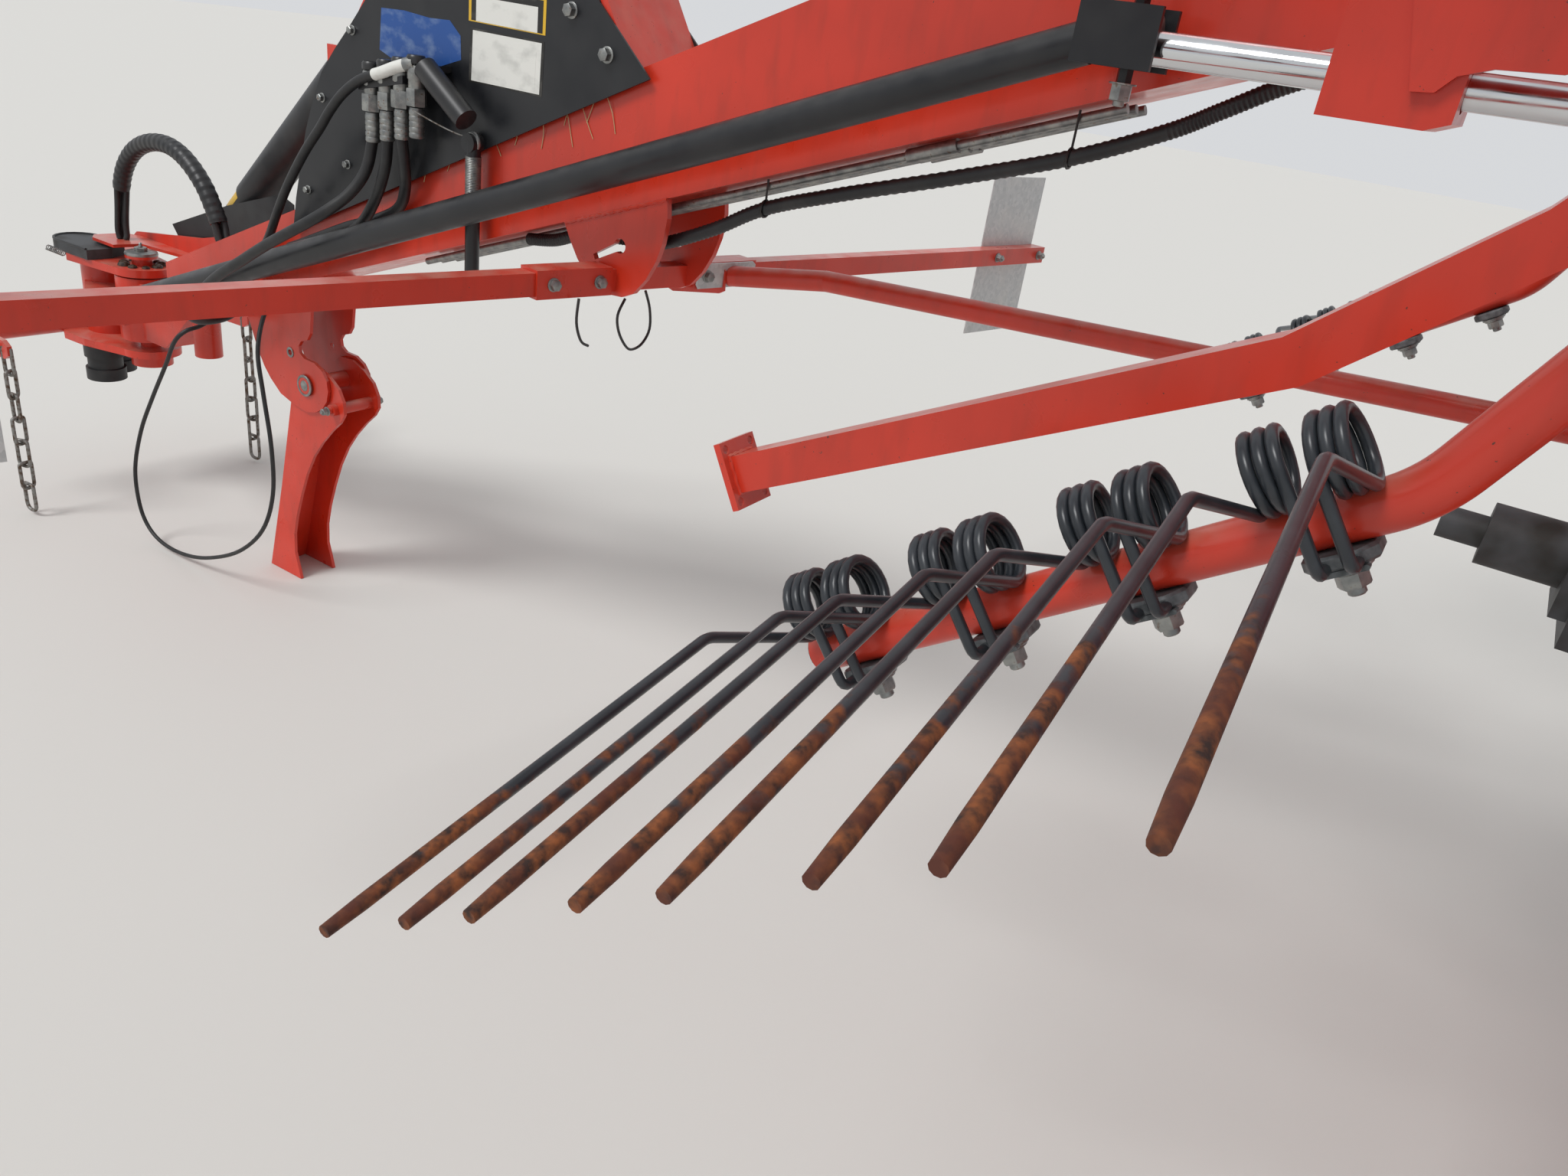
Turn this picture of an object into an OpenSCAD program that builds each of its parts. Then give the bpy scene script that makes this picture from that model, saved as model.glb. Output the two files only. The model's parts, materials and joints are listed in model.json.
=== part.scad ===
// Twin rotor hay rake, semi-mounted, parked with both rotors folded up.
// Frame: +X forward, +Y left, +Z up, origin on the ground under the middle of the machine.

/* [Main frame] */
// Width of the welded box beam
beam_w = 180; // [160:5:200]
// Height of the top of the arched beam
beam_top = 1905; // [1880:5:1940]
// Wall thickness of ears, lugs and bracket plates
plate_t = 12; // [8:1:14]
// Width of the column between beam and crossbeam
column_w = 180; // [160:5:200]
// Height of the crossbeam section
crossbeam_h = 110; // [90:5:120]

/* [Rotor arms] */
// Distance of the fold pivot from the middle plane
fold_y = 664; // [655:1:670]
// Height of the fold pivot
fold_z = 734; // [732:1:740]
// Angle through which the rotors are folded up
fold_deg = 88; // [86:1:89]
// Angle by which the tine arms slope down to their ends
arm_droop = 2.5; // [2:0.1:2.6]
// Size of the rotor guard's square tube
guard_size = 50; // [40:1:60]
// Radius of the fold pin
fold_pin_r = 25; // [20:1:30]
// Width of the carrier arm section
carrier_w = 110; // [90:5:120]
// Height of the carrier arm section
carrier_h = 100; // [80:5:104]

/* [Rotors] */
// Distance of a working rotor's centre from the middle plane
rotor_y = 2090; // [2070:5:2110]
// Number of tine arms on a rotor
arm_count = 11; // [9:1:12]
// Outer radius of a tine arm tube
arm_r = 21; // [18:0.5:21]
// Radius at which a tine arm bends
arm_bend_r = 1058; // [1020:2:1070]
// Angle of the bend in a tine arm
arm_bend_deg = 26; // [15:0.5:28]
// Length of the outer, tine-carrying part of an arm
arm_outer = 560; // [556:1:570]
// Number of double tines on an arm
tine_count = 4; // [3:1:4]
// Spacing of the double tines along an arm
tine_pitch = 146; // [130:1:148]
// Diameter of the tine wire
wire_d = 10.5; // [8:0.5:12]
// Outer diameter of a tine coil
coil_d = 70; // [60:1:80]
// Length of a tine beyond its bend
tine_len = 434; // [400:2:436]

/* [Wheels] */
// Radius of a road wheel
wheel_r = 370; // [350:2:385]
// Width of a road tyre
wheel_w = 260; // [220:5:280]
// Distance of a road wheel from the middle plane
wheel_y = 1215; // [1200:5:1230]
// Radius of a rotor wheel
small_r = 200; // [190:1:205]
// Width of a rotor tyre
small_w = 140; // [120:2:160]

/* [Hitch and stand] */
// Position of the hitch pivot along the machine
hitch_x = 2870; // [2860:1:2880]
// Radius of the hitch pivot pin
hitch_pin_r = 25; // [22:1:30]
// Half the length of the lower link crossbar
link_half = 410; // [380:5:430]
// Radius of the lower link pins
link_pin_r = 14; // [11:0.5:18]
// Height of the stand's pivot
stand_z = 550; // [540:1:560]
// Inside width between the stand's ears
stand_gap = 108; // [100:1:116]
// Height of the front bar
bar_z = 1015; // [1005:1:1025]
// Size of the front bar's square tube
bar_size = 40; // [36:1:44]
// Turn of the front bar out of square
bar_turn = 10.8; // [8:0.2:12]

/* [Hidden] */

red = "orangered";
run = 0.3;
beam_h = beam_w / 2;
rotor_x = -745;
rotor_z = 662;
axle_x = -2830;
kingpin_y = 980;
knuckle_arm = 200;
steer_arm = 120;
tie_x = axle_x + knuckle_arm;
steer_x = tie_x + steer_arm;
rod_y = 170;
link_x = 3142;
link_z = 460;
lift_x = -600;
lift_y = 125;
lift_z = 1420;
lug_y = 934;
lug_z = 874;
coil_r = coil_d / 2;
first_arm = -61;
first_tine = 75;
coil_off = 52;
leg_y = 81;
leg_z = 148;

// Height of the beam's straight top edge and bottom edge at a place along it.
function top_z(x) = 1510 - 0.43 * (x - 800);
function low_z(x) = 910 + 0.36 * (1780 - x);

// Outline of a bent flat bar of width 2 * w along the points p, with mitred bends.
function unit(v) = v / norm(v);
function left_of(v) = [-v[1], v[0]];
function edge(p, w) = [for (i = [0 : len(p) - 1])
  let (n = left_of(unit(i == 0 ? p[1] - p[0] : p[i] - p[i - 1])),
       m = left_of(unit(i == len(p) - 1 ? p[i] - p[i - 1] : p[i + 1] - p[i])))
  p[i] + w * (n + m) / (1 + n * m)];
function flipped(p) = [for (i = [len(p) - 1 : -1 : 0]) p[i]];
function band(p, w) = concat(edge(p, w), flipped(edge(p, -w)));

// Extrudes an outline in the XZ plane from y0 to y0 + t.
module side_plate(y0, t) {
  translate([0, y0 + t, 0]) rotate([90, 0, 0]) linear_extrude(t) children();
}

// Extrudes an outline in the YZ plane from x0 to x0 + t.
module cross_plate(x0, t) {
  translate([x0, 0, 0]) rotate([90, 0, 90]) linear_extrude(t) children();
}

// Round bar between two points.
module bar(a, b, r) {
  d = b - a;
  l = norm(d);
  translate(a) rotate([0, acos(d[2] / l), atan2(d[1], d[0])]) cylinder(r = r, h = l, $fn = 24);
}

// Round bar along Y, or along X.
module pin_y(x, z, y0, y1, r) {
  translate([x, y0, z]) rotate([-90, 0, 0]) cylinder(r = r, h = y1 - y0, $fn = 32);
}
module pin_x(y, z, x0, x1, r) {
  translate([x0, y, z]) rotate([0, 90, 0]) cylinder(r = r, h = x1 - x0, $fn = 32);
}

module both_sides() {
  children();
  mirror([0, 1, 0]) children();
}

// Turns the left rotor unit from its working place to its parked place.
module folded() {
  translate([0, fold_y, fold_z]) rotate([fold_deg, 0, 0]) translate([0, -fold_y, -fold_z]) children();
}

// Smooth curve through the points p, with m steps between neighbours.
function curve(p, m) = [for (i = [0 : len(p) - 2]) for (j = [0 : i == len(p) - 2 ? m : m - 1])
  let (t = j / m, a = p[max(i - 1, 0)], b = p[i], c = p[i + 1], d = p[min(i + 2, len(p) - 1)])
  0.5 * (2 * b + (c - a) * t + (2 * a - 5 * b + 4 * c - d) * t * t
    + (3 * b - a - 3 * c + d) * t * t * t)];

// Round hose of radius r along the points q; side is a direction that q never runs along.
module hose(q, r, side) {
  n = 8;
  k = len(q) - 1;
  polyhedron(
    [for (i = [0 : k]) let (t = unit(q[min(i + 1, k)] - q[max(i - 1, 0)]),
      u = unit(cross(t, side)), v = cross(t, u))
      for (a = [0 : n - 1]) q[i] + r * (cos(360 * a / n) * u + sin(360 * a / n) * v)],
    concat([[for (a = [0 : n - 1]) a]], [[for (a = [n - 1 : -1 : 0]) k * n + a]],
      [for (i = [0 : k - 1]) for (a = [0 : n - 1]) each [
        [i * n + a, (i + 1) * n + a, (i + 1) * n + (a + 1) % n],
        [i * n + a, (i + 1) * n + (a + 1) % n, i * n + (a + 1) % n]]]));
}

// Turns the front bar about the middle of the beam.
module bar_place() {
  translate([1145, 0, bar_z]) rotate([0, 0, -bar_turn]) children();
}

module main_beam() {
  color(red) difference() {
    union() {
      side_plate(-beam_h, beam_w) polygon([
        [2600, top_z(2600)], [800 - (beam_top - 1510) / 0.43, beam_top], [-640, beam_top],
        [-2720, 640], [-2890, 640], [-2890, 491], [-2600, 491], [-2480, 560],
        [-560, 1600], [-130, 1600], [1780, 910], [2600, low_z(2600)]]);
      side_plate(-64, 109) polygon([[2540, top_z(2540) - 4], [2700, 660], [2780, 632],
        [hitch_x - 36, 628],        [hitch_x - 36, 480], [2720, 480], [2540, low_z(2540) + 4]]);
      translate([hitch_x, 0, 470]) cylinder(r = 70, h = 170, $fn = 48);
      translate([steer_x, 0, 484.3]) cylinder(r = 28, h = 100, $fn = 32);
      translate([2520, 45, 512]) cylinder(r = 33, h = 150, $fn = 40);
      side_plate(-90, 8) polygon([[2480, 700], [2480, 820], [2720, 760], [3030, 716], [3050, 700],
        [2720, 696]]);
      translate([0, 0, 700]) linear_extrude(8) polygon([[2720, -84], [3010, -84], [3055, -60],
        [3060, 20], [3030, 40], [2930, 40], [2920, -30], [2720, -60]]);
    }
    translate([steer_x, 0, 480]) cylinder(r = 15.05, h = 50, $fn = 32);
    translate([hitch_x, 0, 400]) cylinder(r = hitch_pin_r + 0.05, h = 300, $fn = 48);
  }
}

module column() {
  color(red) {
    side_plate(-column_w / 2, column_w) polygon([[-900, fold_z + crossbeam_h / 2],
      [-550, fold_z + crossbeam_h / 2], [-550, 1599.9], [-558, 1599.9], [-960, 1382]]);
    both_sides() for (x = [-652, -562]) difference() {
      cross_plate(x, 10) polygon([[column_w / 2, 1340], [column_w / 2, 1470],
        [column_w / 2 + 45, 1462], [column_w / 2 + 72, 1420], [column_w / 2 + 60, 1380]]);
      pin_x(lift_y, lift_z, x - 1, x + 11, 10);
    }
    both_sides() pin_x(lift_y, lift_z, -652, -552, 15);
    translate([-720, -345, 1082]) cube([40, 345 - column_w / 2, 50]);
  }
}

module crossbeam() {
  h = crossbeam_h / 2;
  color(red) {
    translate([-875, 80 - fold_y, fold_z - h]) cube([320, 2 * fold_y - 160, crossbeam_h - 0.2]);
    both_sides() for (x = [-875, -575]) difference() {
      cross_plate(x, 20) union() {
        translate([fold_y, fold_z]) circle(r = 60, $fn = 48);
        polygon([[fold_y - 100, fold_z - h], [fold_y - 100, fold_z + h], [fold_y, fold_z + 60],
          [fold_y, fold_z - 60]]);
      }
      pin_x(fold_y, fold_z, x - 1, x + 21, fold_pin_r + 0.05);
    }
  }
}

module rear_axle() {
  color(red) {
    translate([axle_x - 60, -900, 370]) cube([120, 1800, 120.8]);
    both_sides() for (z = [370, 476]) difference() {
      translate([0, 0, z]) linear_extrude(15) union() {
        translate([axle_x, kingpin_y]) circle(r = 50, $fn = 48);
        translate([axle_x - 50, 880]) square([100, kingpin_y - 880]);
      }
      translate([axle_x, kingpin_y, z - 1]) cylinder(r = 20.05, h = 17, $fn = 32);
    }
  }
}

module central_gearbox() {
  color("dimgray") {
    translate([-549.7, -80, 900]) cube([130, 160, 190]);
    translate([-419.7, -60, 930]) cube([20, 120, 130]);
    pin_x(0, 995, -400, -300, 42);
    pin_x(0, 995, -300, -245, 22);
    both_sides() {
      pin_y(-485, 960, 80, 110, 55);
      pin_y(-485, 960, 110, 170, 30);
    }
  }
}

// Shield shaped plate under the beam that holds the front bar.
module bar_bracket(y0) {
  difference() {
    side_plate(y0, plate_t) polygon([
      [1274, low_z(1274) - 0.2], [1040, low_z(1040) - 0.2], [1036, 1144], [1043, 1099],
      [1054, 1066], [1074, 1030], [1100, 1000], [1126, 988], [1157, 986], [1186, 994],
      [1214, 1010], [1238, 1034], [1257, 1062]]);
    pin_y(1138, 1077, y0 - 1, y0 + plate_t + 1, 13);
    side_plate(y0 - 1, plate_t + 2) polygon([[1136, 1070], [1142, 1084], [1200, 1050], [1195, 1041]]);
  }
}

module front_bar() {
  s = bar_size;
  color(red) {
    bar_bracket(beam_h - plate_t);
    bar_bracket(-beam_h);
    bar_place() {
      translate([-s / 2, -180, -s / 2]) cube([s, 360, s]);
      for (y = [100, -262]) difference() {
        translate([-s / 2 - 5, y, -s / 2 - 5]) cube([s + 10, 162, s + 10]);
        translate([-s / 2 - 0.1, y - 1, -s / 2 - 0.1]) cube([s + 0.2, 164, s + 0.2]);
      }
      translate([-s / 2, 180.1, -s / 2]) cube([s, 1120, s]);
      translate([-s / 2, -1350, -s / 2]) cube([s, 1169.9, s]);
    }
  }
}

module sign_plates() {
  color("lightgray") bar_place() for (y = [-1345, 1065])
    translate([bar_size / 2 + 0.2, y, -205]) cube([3, 230, 395]);
}

// Room that the front bar's sleeve takes in the guard rail and its clamp.
module bar_room() {
  s = bar_size + 10.4;
  bar_place() translate([-s / 2, -400, -s / 2]) cube([s, 800, s]);
}

module guard_rail() {
  color(red) difference() {
    union() {
      bar([1228, -187, 985], [1076, -187, 1012.8], 20);
      bar([1084, -185, 1011.5], [896, -251, 1036.5], 20);
      bar([904, -249, 1035.8], [-678.2, -320, 1107], 20);
    }
    bar_room();
  }
  color("silver") difference() {
    side_plate(-166.8, 4) polygon([[1222, 962], [1226, 1003], [1210, 1012],
      [1092, 1034], [1080, 1024], [1078, 985], [1090, 978], [1205, 957]]);
    bar_room();
  }
}

module panel_frame() {
  color(red) {
    side_plate(-100, 200) polygon([[2050, top_z(2050) + 0.2], [1130, top_z(1130) + 0.2],
      [1250, 1560], [1700, 1560], [1930, 1240], [1990, 1120]]);
    translate([1850, -118, 1255]) cube([350, 13.5, 40]);
    translate([0, 0, 1560]) linear_extrude(8) polygon([[1235, -112], [1712, -112], [1712, 112],
      [1235, 112]]);
  }
}

module side_panels() {
  color("black") both_sides() side_plate(100.3, 4) polygon([[2060, 921], [2044, 995], [2024, 1062],
    [2000, 1140], [1972, 1202], [1940, 1261], [1897, 1308], [1848, 1356], [1801, 1405],
    [1700, 1552], [1262, 1552], [1205, 1462], [1087, 1360]]);
}

module hydraulic_pipes() {
  drop = 11.3 / cos(atan(0.36));
  color("silver") for (y = [-40, 0, 40]) {
    bar([1700, y, low_z(1700) - drop], [300, y, low_z(300) - drop], 7);
    bar([620, y, low_z(620) - drop], [540, y, low_z(540) - drop], 11);
  }
}

module hose_holder() {
  color("dimgray") {
    side_plate(104.5, 40) polygon([[1770, 1262], [1770, 1272], [1560, 1318], [1560, 1308]]);
    for (i = [0 : 2]) {
      translate([1735 - 42 * i, 145, 1186 + 9 * i]) cylinder(r = 12, h = 110, $fn = 6);
      translate([1735 - 42 * i, 145, 1215 + 9 * i]) cylinder(r = 16, h = 30, $fn = 6);
    }
    side_plate(130, 30) polygon([[1756, 1250], [1756, 1264], [1630, 1291], [1630, 1277]]);
  }
  color("black") bar([1580, 150, 1312], [1470, 150, 1238], 22);
}

module drive_shaft() {
  color("black") {
    bar([2772, -168.3, 725], [2380, -168.3, 1081], 45);
    bar([2600, -168.3, 881], [1990, -168.3, 1435], 50);
  }
}

module hang_strut() {
  color("black") {
    bar([1484, 118.4, 1200], [1484, 118.4, 960], 13.8);
    pin_y(1486, 1196, 104.5, 132, 17);
  }
}

module front_shield() {
  color("dimgray") {
    side_plate(-104, 3.5) polygon([[2882, 764], [2846, 722], [2640, 770], [2578, 788], [2347, 888],
      [2347, 914], [2397, 930], [2620, 862]]);
    translate([2400, -100.6, 812]) cube([60, 10.4, 40]);
  }
}

module stand_ears() {
  g = stand_gap / 2;
  color(red) both_sides() difference() {
    side_plate(g, 8) polygon([[2340, low_z(2340) - 0.2], [2071, low_z(2071) - 0.2], [2071, 729],
      [2078, 680], [2090, 662], [2113, 654], [2123, 640], [2120, 624], [2104, 614], [2068, 613],
      [2040, 600], [2024, 580], [2020, 556], [2027, 529], [2045, 506], [2072, 490], [2105, 482],
      [2154, 488], [2203, 502], [2240, 531], [2262, 556], [2284, 592], [2308, 650]]);
    pin_y(2100, stand_z, g - 1, g + 9, 20.05);
    pin_y(2155, 617, g - 1, g + 9, 7);
  }
}

module stand_leg() {
  g = stand_gap / 2 - 1;
  color(red) {
    difference() {
      pin_y(2100, stand_z, -g - 16, g + 16, 20);
      pin_y(2100, stand_z, -g - 17, g + 17, 13);
    }
    both_sides() side_plate(g - 8, 8) difference() {
      polygon([[2173, 500], [2150, 575], [2112, 602], [2068, 604], [2026, 588],
        [1994, 566], [1978, 538], [1976, 508], [1992, 484], [2024, 455], [2064, 412], [2098, 367],
        [2130, 310], [2157, 245], [2180, 180], [2194, 124], [2196, 70], [2184, 30], [2176, 0],
        [2301, 0], [2234, 248]]);
      translate([2100, stand_z]) circle(r = 19.9, $fn = 48);
    }
    side_plate(-g + 7.9, 2 * g - 15.8) polygon([[2173, 500], [2234, 248], [2301, 0], [2292, 0],
      [2226, 246], [2165, 496]]);
    pin_y(2008, 514, -g - 16, g + 22, 8);
    pin_y(2008, 514, -g + 7.9, g - 7.9, 14);
    both_sides() pin_y(2008, 514, g, g + 12, 14);
  }
}

module rod_guide() {
  color(red) difference() {
    side_plate(beam_h + 0.1, 130) polygon([[-110, 1470], [-84, 1460], [30, 1460], [30, 1600],
      [-10, 1640], [-110, 1640]]);
    pin_x(rod_y, 1505, -120, 40, 24);
  }
  color(red) side_plate(beam_h + 130.1, 12) polygon([[-60, 1496], [-84, 1498], [-100, 1516],
    [-132, 1527], [-195, 1530], [-240, 1550], [-250, 1620], [-200, 1700], [-40, 1700], [-30, 1600]]);
}

module hitch_head() {
  color(red) {
    translate([0, 0, 425]) linear_extrude(20) union() {
      translate([hitch_x, 0]) circle(r = 75, $fn = 48);
      polygon([[hitch_x, 75], [3000, 112], [3090, 118], [3150, 90], [3165, 40], [3165, -40],
        [3150, -90], [3060, -110], [hitch_x, -75]]);
    }
    translate([0, 0, 645]) linear_extrude(20) union() {
      translate([hitch_x, 0]) circle(r = 75, $fn = 48);
      polygon([[hitch_x, 75], [3060, 100], [3130, 60], [3130, -60], [3060, -100], [hitch_x, -75]]);
    }
    translate([3060, 0, 440]) cylinder(r = 60, h = 210, $fn = 48);
    pin_y(link_x, link_z, -link_half, link_half, 32);
    both_sides() {
      pin_y(link_x, link_z, link_half - 20, link_half, 56);
      pin_y(link_x, link_z, link_half, link_half + 95, link_pin_r);
      side_plate(link_half - 80, 12) polygon([[link_x, link_z - 30], [link_x, link_z + 30],
        [2945, 484], [2925, 472], [2925, 448], [2945, 436]]);
    }
    translate([0, 0, 575]) linear_extrude(14) polygon([[2830, 98], [2700, 142], [2656, 162],
      [2650, 184], [2668, 204], [2700, 208], [2780, 198], [2890, 150], [3060, 60], [3060, 0],
      [2950, 0], [2950, 80]]);
  }
  color("silver") {
    translate([hitch_x, 0, 430]) cylinder(r = hitch_pin_r, h = 255, $fn = 48);
    translate([hitch_x, 0, 685]) cylinder(r = 40, h = 8, $fn = 48);
    translate([hitch_x, 0, 395]) cylinder(r = 52, h = 30.1, $fn = 48);
  }
}

module hitch_cover() {
  color("gray") translate([0, 0, 665.2]) linear_extrude(26) union() {
    translate([3100, 40]) circle(r = 62, $fn = 48);
    polygon([[3100, 102], [2960, 96], [2960, 30], [2990, -22], [3100, -22]]);
  }
}

module hitch_bellows() {
  color("black") for (p = [[3060, 0], [3000, 62]], i = [0 : 2])
    translate([p[0], p[1], 328.7 + 32 * i]) cylinder(r = i == 1 ? 44 : 50, h = 32, $fn = 40);
}

module hitch_chains() {
  color("gray") both_sides() for (i = [0 : 8])
    translate([2942, link_half - 74, 408.6 - 45 * i]) rotate([90, 0, i % 2 == 0 ? 0 : 90])
      rotate_extrude($fn = 24) translate([22, 0]) circle(r = 5, $fn = 16);
}

module steering_rod() {
  color("black") {
    bar([2690, rod_y, 620], [330, rod_y, 1502], 27);
    translate([2690, rod_y, 595]) cylinder(r = 35, h = 42, $fn = 32);
    translate([232, rod_y - 38, 1478]) cube([100, 8, 72]);
    translate([232, rod_y + 30, 1478]) cube([100, 8, 72]);
    translate([322, rod_y - 38, 1478]) cube([14, 76, 72]);
  }
  color("silver") {
    pin_x(rod_y, 1515, 245, 300, 30);
    translate([272, rod_y, 1462]) cylinder(r = 10, h = 96, $fn = 6);
    pin_x(rod_y, 1505, -1150, 246, 20);
  }
  color("black") {
    bar([-1150, rod_y, 1505], [steer_x, rod_y, 506], 22);
    translate([steer_x, rod_y, 489]) cylinder(r = 30, h = 34, $fn = 32);
  }
}

module steering_plate() {
  color(red) {
    translate([0, 0, 470]) linear_extrude(14) polygon([[steer_x + 30, -30],
      [steer_x + 35, rod_y + 30], [steer_x - 35, rod_y + 30], [steer_x - 60, 40], [tie_x - 25, 25],
      [tie_x - 25, -25], [steer_x - 30, -40]]);
    translate([steer_x, 0, 455]) cylinder(r = 15, h = 70, $fn = 32);
    translate([steer_x, 0, 455]) cylinder(r = 24, h = 15, $fn = 32);
  }
}

module tie_rod() {
  color("black") {
    pin_y(tie_x, 447, -kingpin_y + 10, kingpin_y - 10, 13);
    translate([tie_x, 0, 432]) cylinder(r = 25, h = 37.7, $fn = 32);
    both_sides() translate([tie_x, kingpin_y, 431.3]) cylinder(r = 22, h = 32, $fn = 32);
  }
}

module knuckle() {
  color(red) {
    translate([axle_x, kingpin_y, 360]) cylinder(r = 20, h = 141, $fn = 32);
    translate([axle_x, kingpin_y, 386]) cylinder(r = 40, h = 89, $fn = 32);
    translate([axle_x - 40, kingpin_y + 52, 320]) cube([80, 20, 155]);
    translate([axle_x - 30, kingpin_y, 395]) cube([60, 60, 70]);
    pin_y(axle_x, wheel_r, kingpin_y + 60, wheel_y + 60, 25);
    translate([0, 0, 415]) linear_extrude(16) polygon([[axle_x - 30, kingpin_y - 30],
      [tie_x - 25, kingpin_y - 20], [tie_x + 25, kingpin_y - 20], [tie_x + 20, kingpin_y + 30],
      [axle_x + 40, kingpin_y + 40]]);
  }
}
module knuckle_left() knuckle();
module knuckle_right() mirror([0, 1, 0]) knuckle();

// Tyre and rim turned about the wheel's axis, drawn about Z.
module tyre_shape(r, w, rim) {
  h = w / 2;
  rotate_extrude($fn = 64) polygon([[rim, -h + 20], [rim + 12, -h + 6], [rim + (r - rim) * 0.5, -h],
    [r - 30, -h + 8], [r - 8, -h + 24], [r, -h + 60], [r, h - 60], [r - 8, h - 24], [r - 30, h - 8],
    [rim + (r - rim) * 0.5, h], [rim + 12, h - 6], [rim, h - 20]]);
}
module rim_shape(r, w, hole) {
  h = w / 2;
  rotate_extrude($fn = 64) polygon([[r - 0.3, -h + 20], [r - 0.3, h - 20], [r - 12, h - 20],
    [r - 40, 40], [80, 40], [80, 60], [hole, 60], [hole, -60], [60, -60], [60, 25],
    [r - 50, 25], [r - 14, -h + 24]]);
}
module at_wheel(x, y, z) translate([x, y, z]) rotate([-90, 0, 0]) children();

module tyre_left() color("black") at_wheel(axle_x, wheel_y, wheel_r) tyre_shape(wheel_r, wheel_w, 200);
module tyre_right() mirror([0, 1, 0]) tyre_left();
module rim_left() color("silver") at_wheel(axle_x, wheel_y, wheel_r) rim_shape(200, wheel_w, 25.3);
module rim_right() mirror([0, 1, 0]) rim_left();

module carrier() {
  w = carrier_w;
  h = carrier_h;
  z0 = fold_z + 6;
  color(red) folded() {
    pin_x(fold_y, fold_z, -850, -580, 48);
    pin_x(fold_y, fold_z, -890, -540, fold_pin_r);
    translate([rotor_x - w / 2, fold_y + 60, z0]) cube([w, rotor_y - 185 - fold_y, h]);
    cross_plate(rotor_x - w / 2, w) polygon([[fold_y, fold_z + 47], [fold_y + 61, fold_z + 76],
      [fold_y + 61, fold_z + 6], [fold_y + 20, fold_z - 43]]);
    side_plate(rotor_y - 137, 12) polygon([[rotor_x - 90, 716], [rotor_x + 90, 716],
      [rotor_x + 90, z0 + h + 16], [rotor_x - 90, z0 + h + 16]]);
    cross_plate(-650, 10) union() {
      translate([lug_y, lug_z]) circle(r = 36, $fn = 48);
      polygon([[lug_y - 70, z0 + 10], [lug_y - 34, lug_z + 6], [lug_y + 34, lug_z + 6],
        [lug_y + 70, z0 + 10]]);
    }
    translate([-700, lug_y - 70, z0 + 10]) cube([60, 140, 60]);
  }
}

// Square guard tube in front of a rotor, on a post of its carrier.
module guard_tube(route) {
  s = guard_size / 2;
  color(red) folded() {
    translate([0, 0, 910 - s]) linear_extrude(2 * s) polygon(band(route, s));
    translate([-735, rotor_y - 220, fold_z + 6 + carrier_h - 2]) cube([50, 60, 47]);
  }
}
module carrier_left() {
  carrier();
  guard_tube([[550, 852], [-75, 1172], [-250, 1326], [-710, 1900]]);
  color(red) folded() translate([554, 850, 910]) rotate([0, 0, -27.1]) difference() {
    translate([-6, -46, -38]) cube([10, 92, 76]);
    for (y = [-36, 36], z = [-28, 28]) 
      translate([-7, y, z]) rotate([0, 90, 0]) cylinder(r = 6, h = 12, $fn = 24);
  }
}
module carrier_right() mirror([0, 1, 0]) {
  carrier();
  guard_tube([[-560, 1712], [-710, 1900]]);
}

module gearbox() {
  color("dimgray") folded() {
    translate([rotor_x, rotor_y, 712.5]) cylinder(r = 118, h = 120, $fn = 48);
    translate([rotor_x, rotor_y, 832]) cylinder(r = 90, h = 24, $fn = 48);
    translate([rotor_x - 80, rotor_y - 124.7, 722]) cube([160, 60, 106]);
    pin_x(rotor_y, 790, rotor_x + 100, rotor_x + 190, 34);
  }
}
module gearbox_left() gearbox();
module gearbox_right() mirror([0, 1, 0]) gearbox();

wheel_spots = [[480, 250], [-480, 250], [-480, -250], [480, -250]];

module bogie() {
  color(red) folded() translate([rotor_x, rotor_y, 0]) {
    translate([0, 0, 320]) cylinder(r = 45, h = 392.2, $fn = 32);
    translate([-520, -30, 260]) cube([1040, 60, 60]);
    translate([-70, -70, 300]) cube([140, 140, 40]);
    for (p = wheel_spots) {
      translate([p[0] - 25, p[1] > 0 ? 0 : -150, 260]) cube([50, 150, 50]);
      translate([p[0] - 25, p[1] > 0 ? 130 : -150, 170]) cube([50, 20, 110]);
      pin_y(p[0], small_r, p[1] > 0 ? 140 : p[1] - 60, p[1] > 0 ? p[1] + 60 : -140, 15);
    }
  }
}
module bogie_left() bogie();
module bogie_right() mirror([0, 1, 0]) bogie();

module small_wheel(i) {
  p = wheel_spots[i];
  folded() translate([rotor_x + p[0], rotor_y + p[1], small_r]) rotate([-90, 0, 0]) {
    color("black") tyre_shape(small_r, small_w, 100);
    color("red") rotate_extrude($fn = 48) polygon([[100, -40], [100, 40], [40, 40], [40, 60],
      [15.3, 60], [15.3, -60], [40, -60], [40, -40]]);
  }
}
module small_wheel_l1() small_wheel(0);
module small_wheel_l2() small_wheel(1);
module small_wheel_l3() small_wheel(2);
module small_wheel_l4() small_wheel(3);
module small_wheel_r1() mirror([0, 1, 0]) small_wheel(0);
module small_wheel_r2() mirror([0, 1, 0]) small_wheel(1);
module small_wheel_r3() mirror([0, 1, 0]) small_wheel(2);
module small_wheel_r4() mirror([0, 1, 0]) small_wheel(3);

// Places a piece at each arm of the left rotor, with the arm along +X.
module at_arms() {
  folded() translate([rotor_x, rotor_y, rotor_z])
    for (i = [0 : arm_count - 1]) rotate([0, 0, first_arm + i * 360 / arm_count])
      rotate([0, arm_droop, 0]) children();
}

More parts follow.
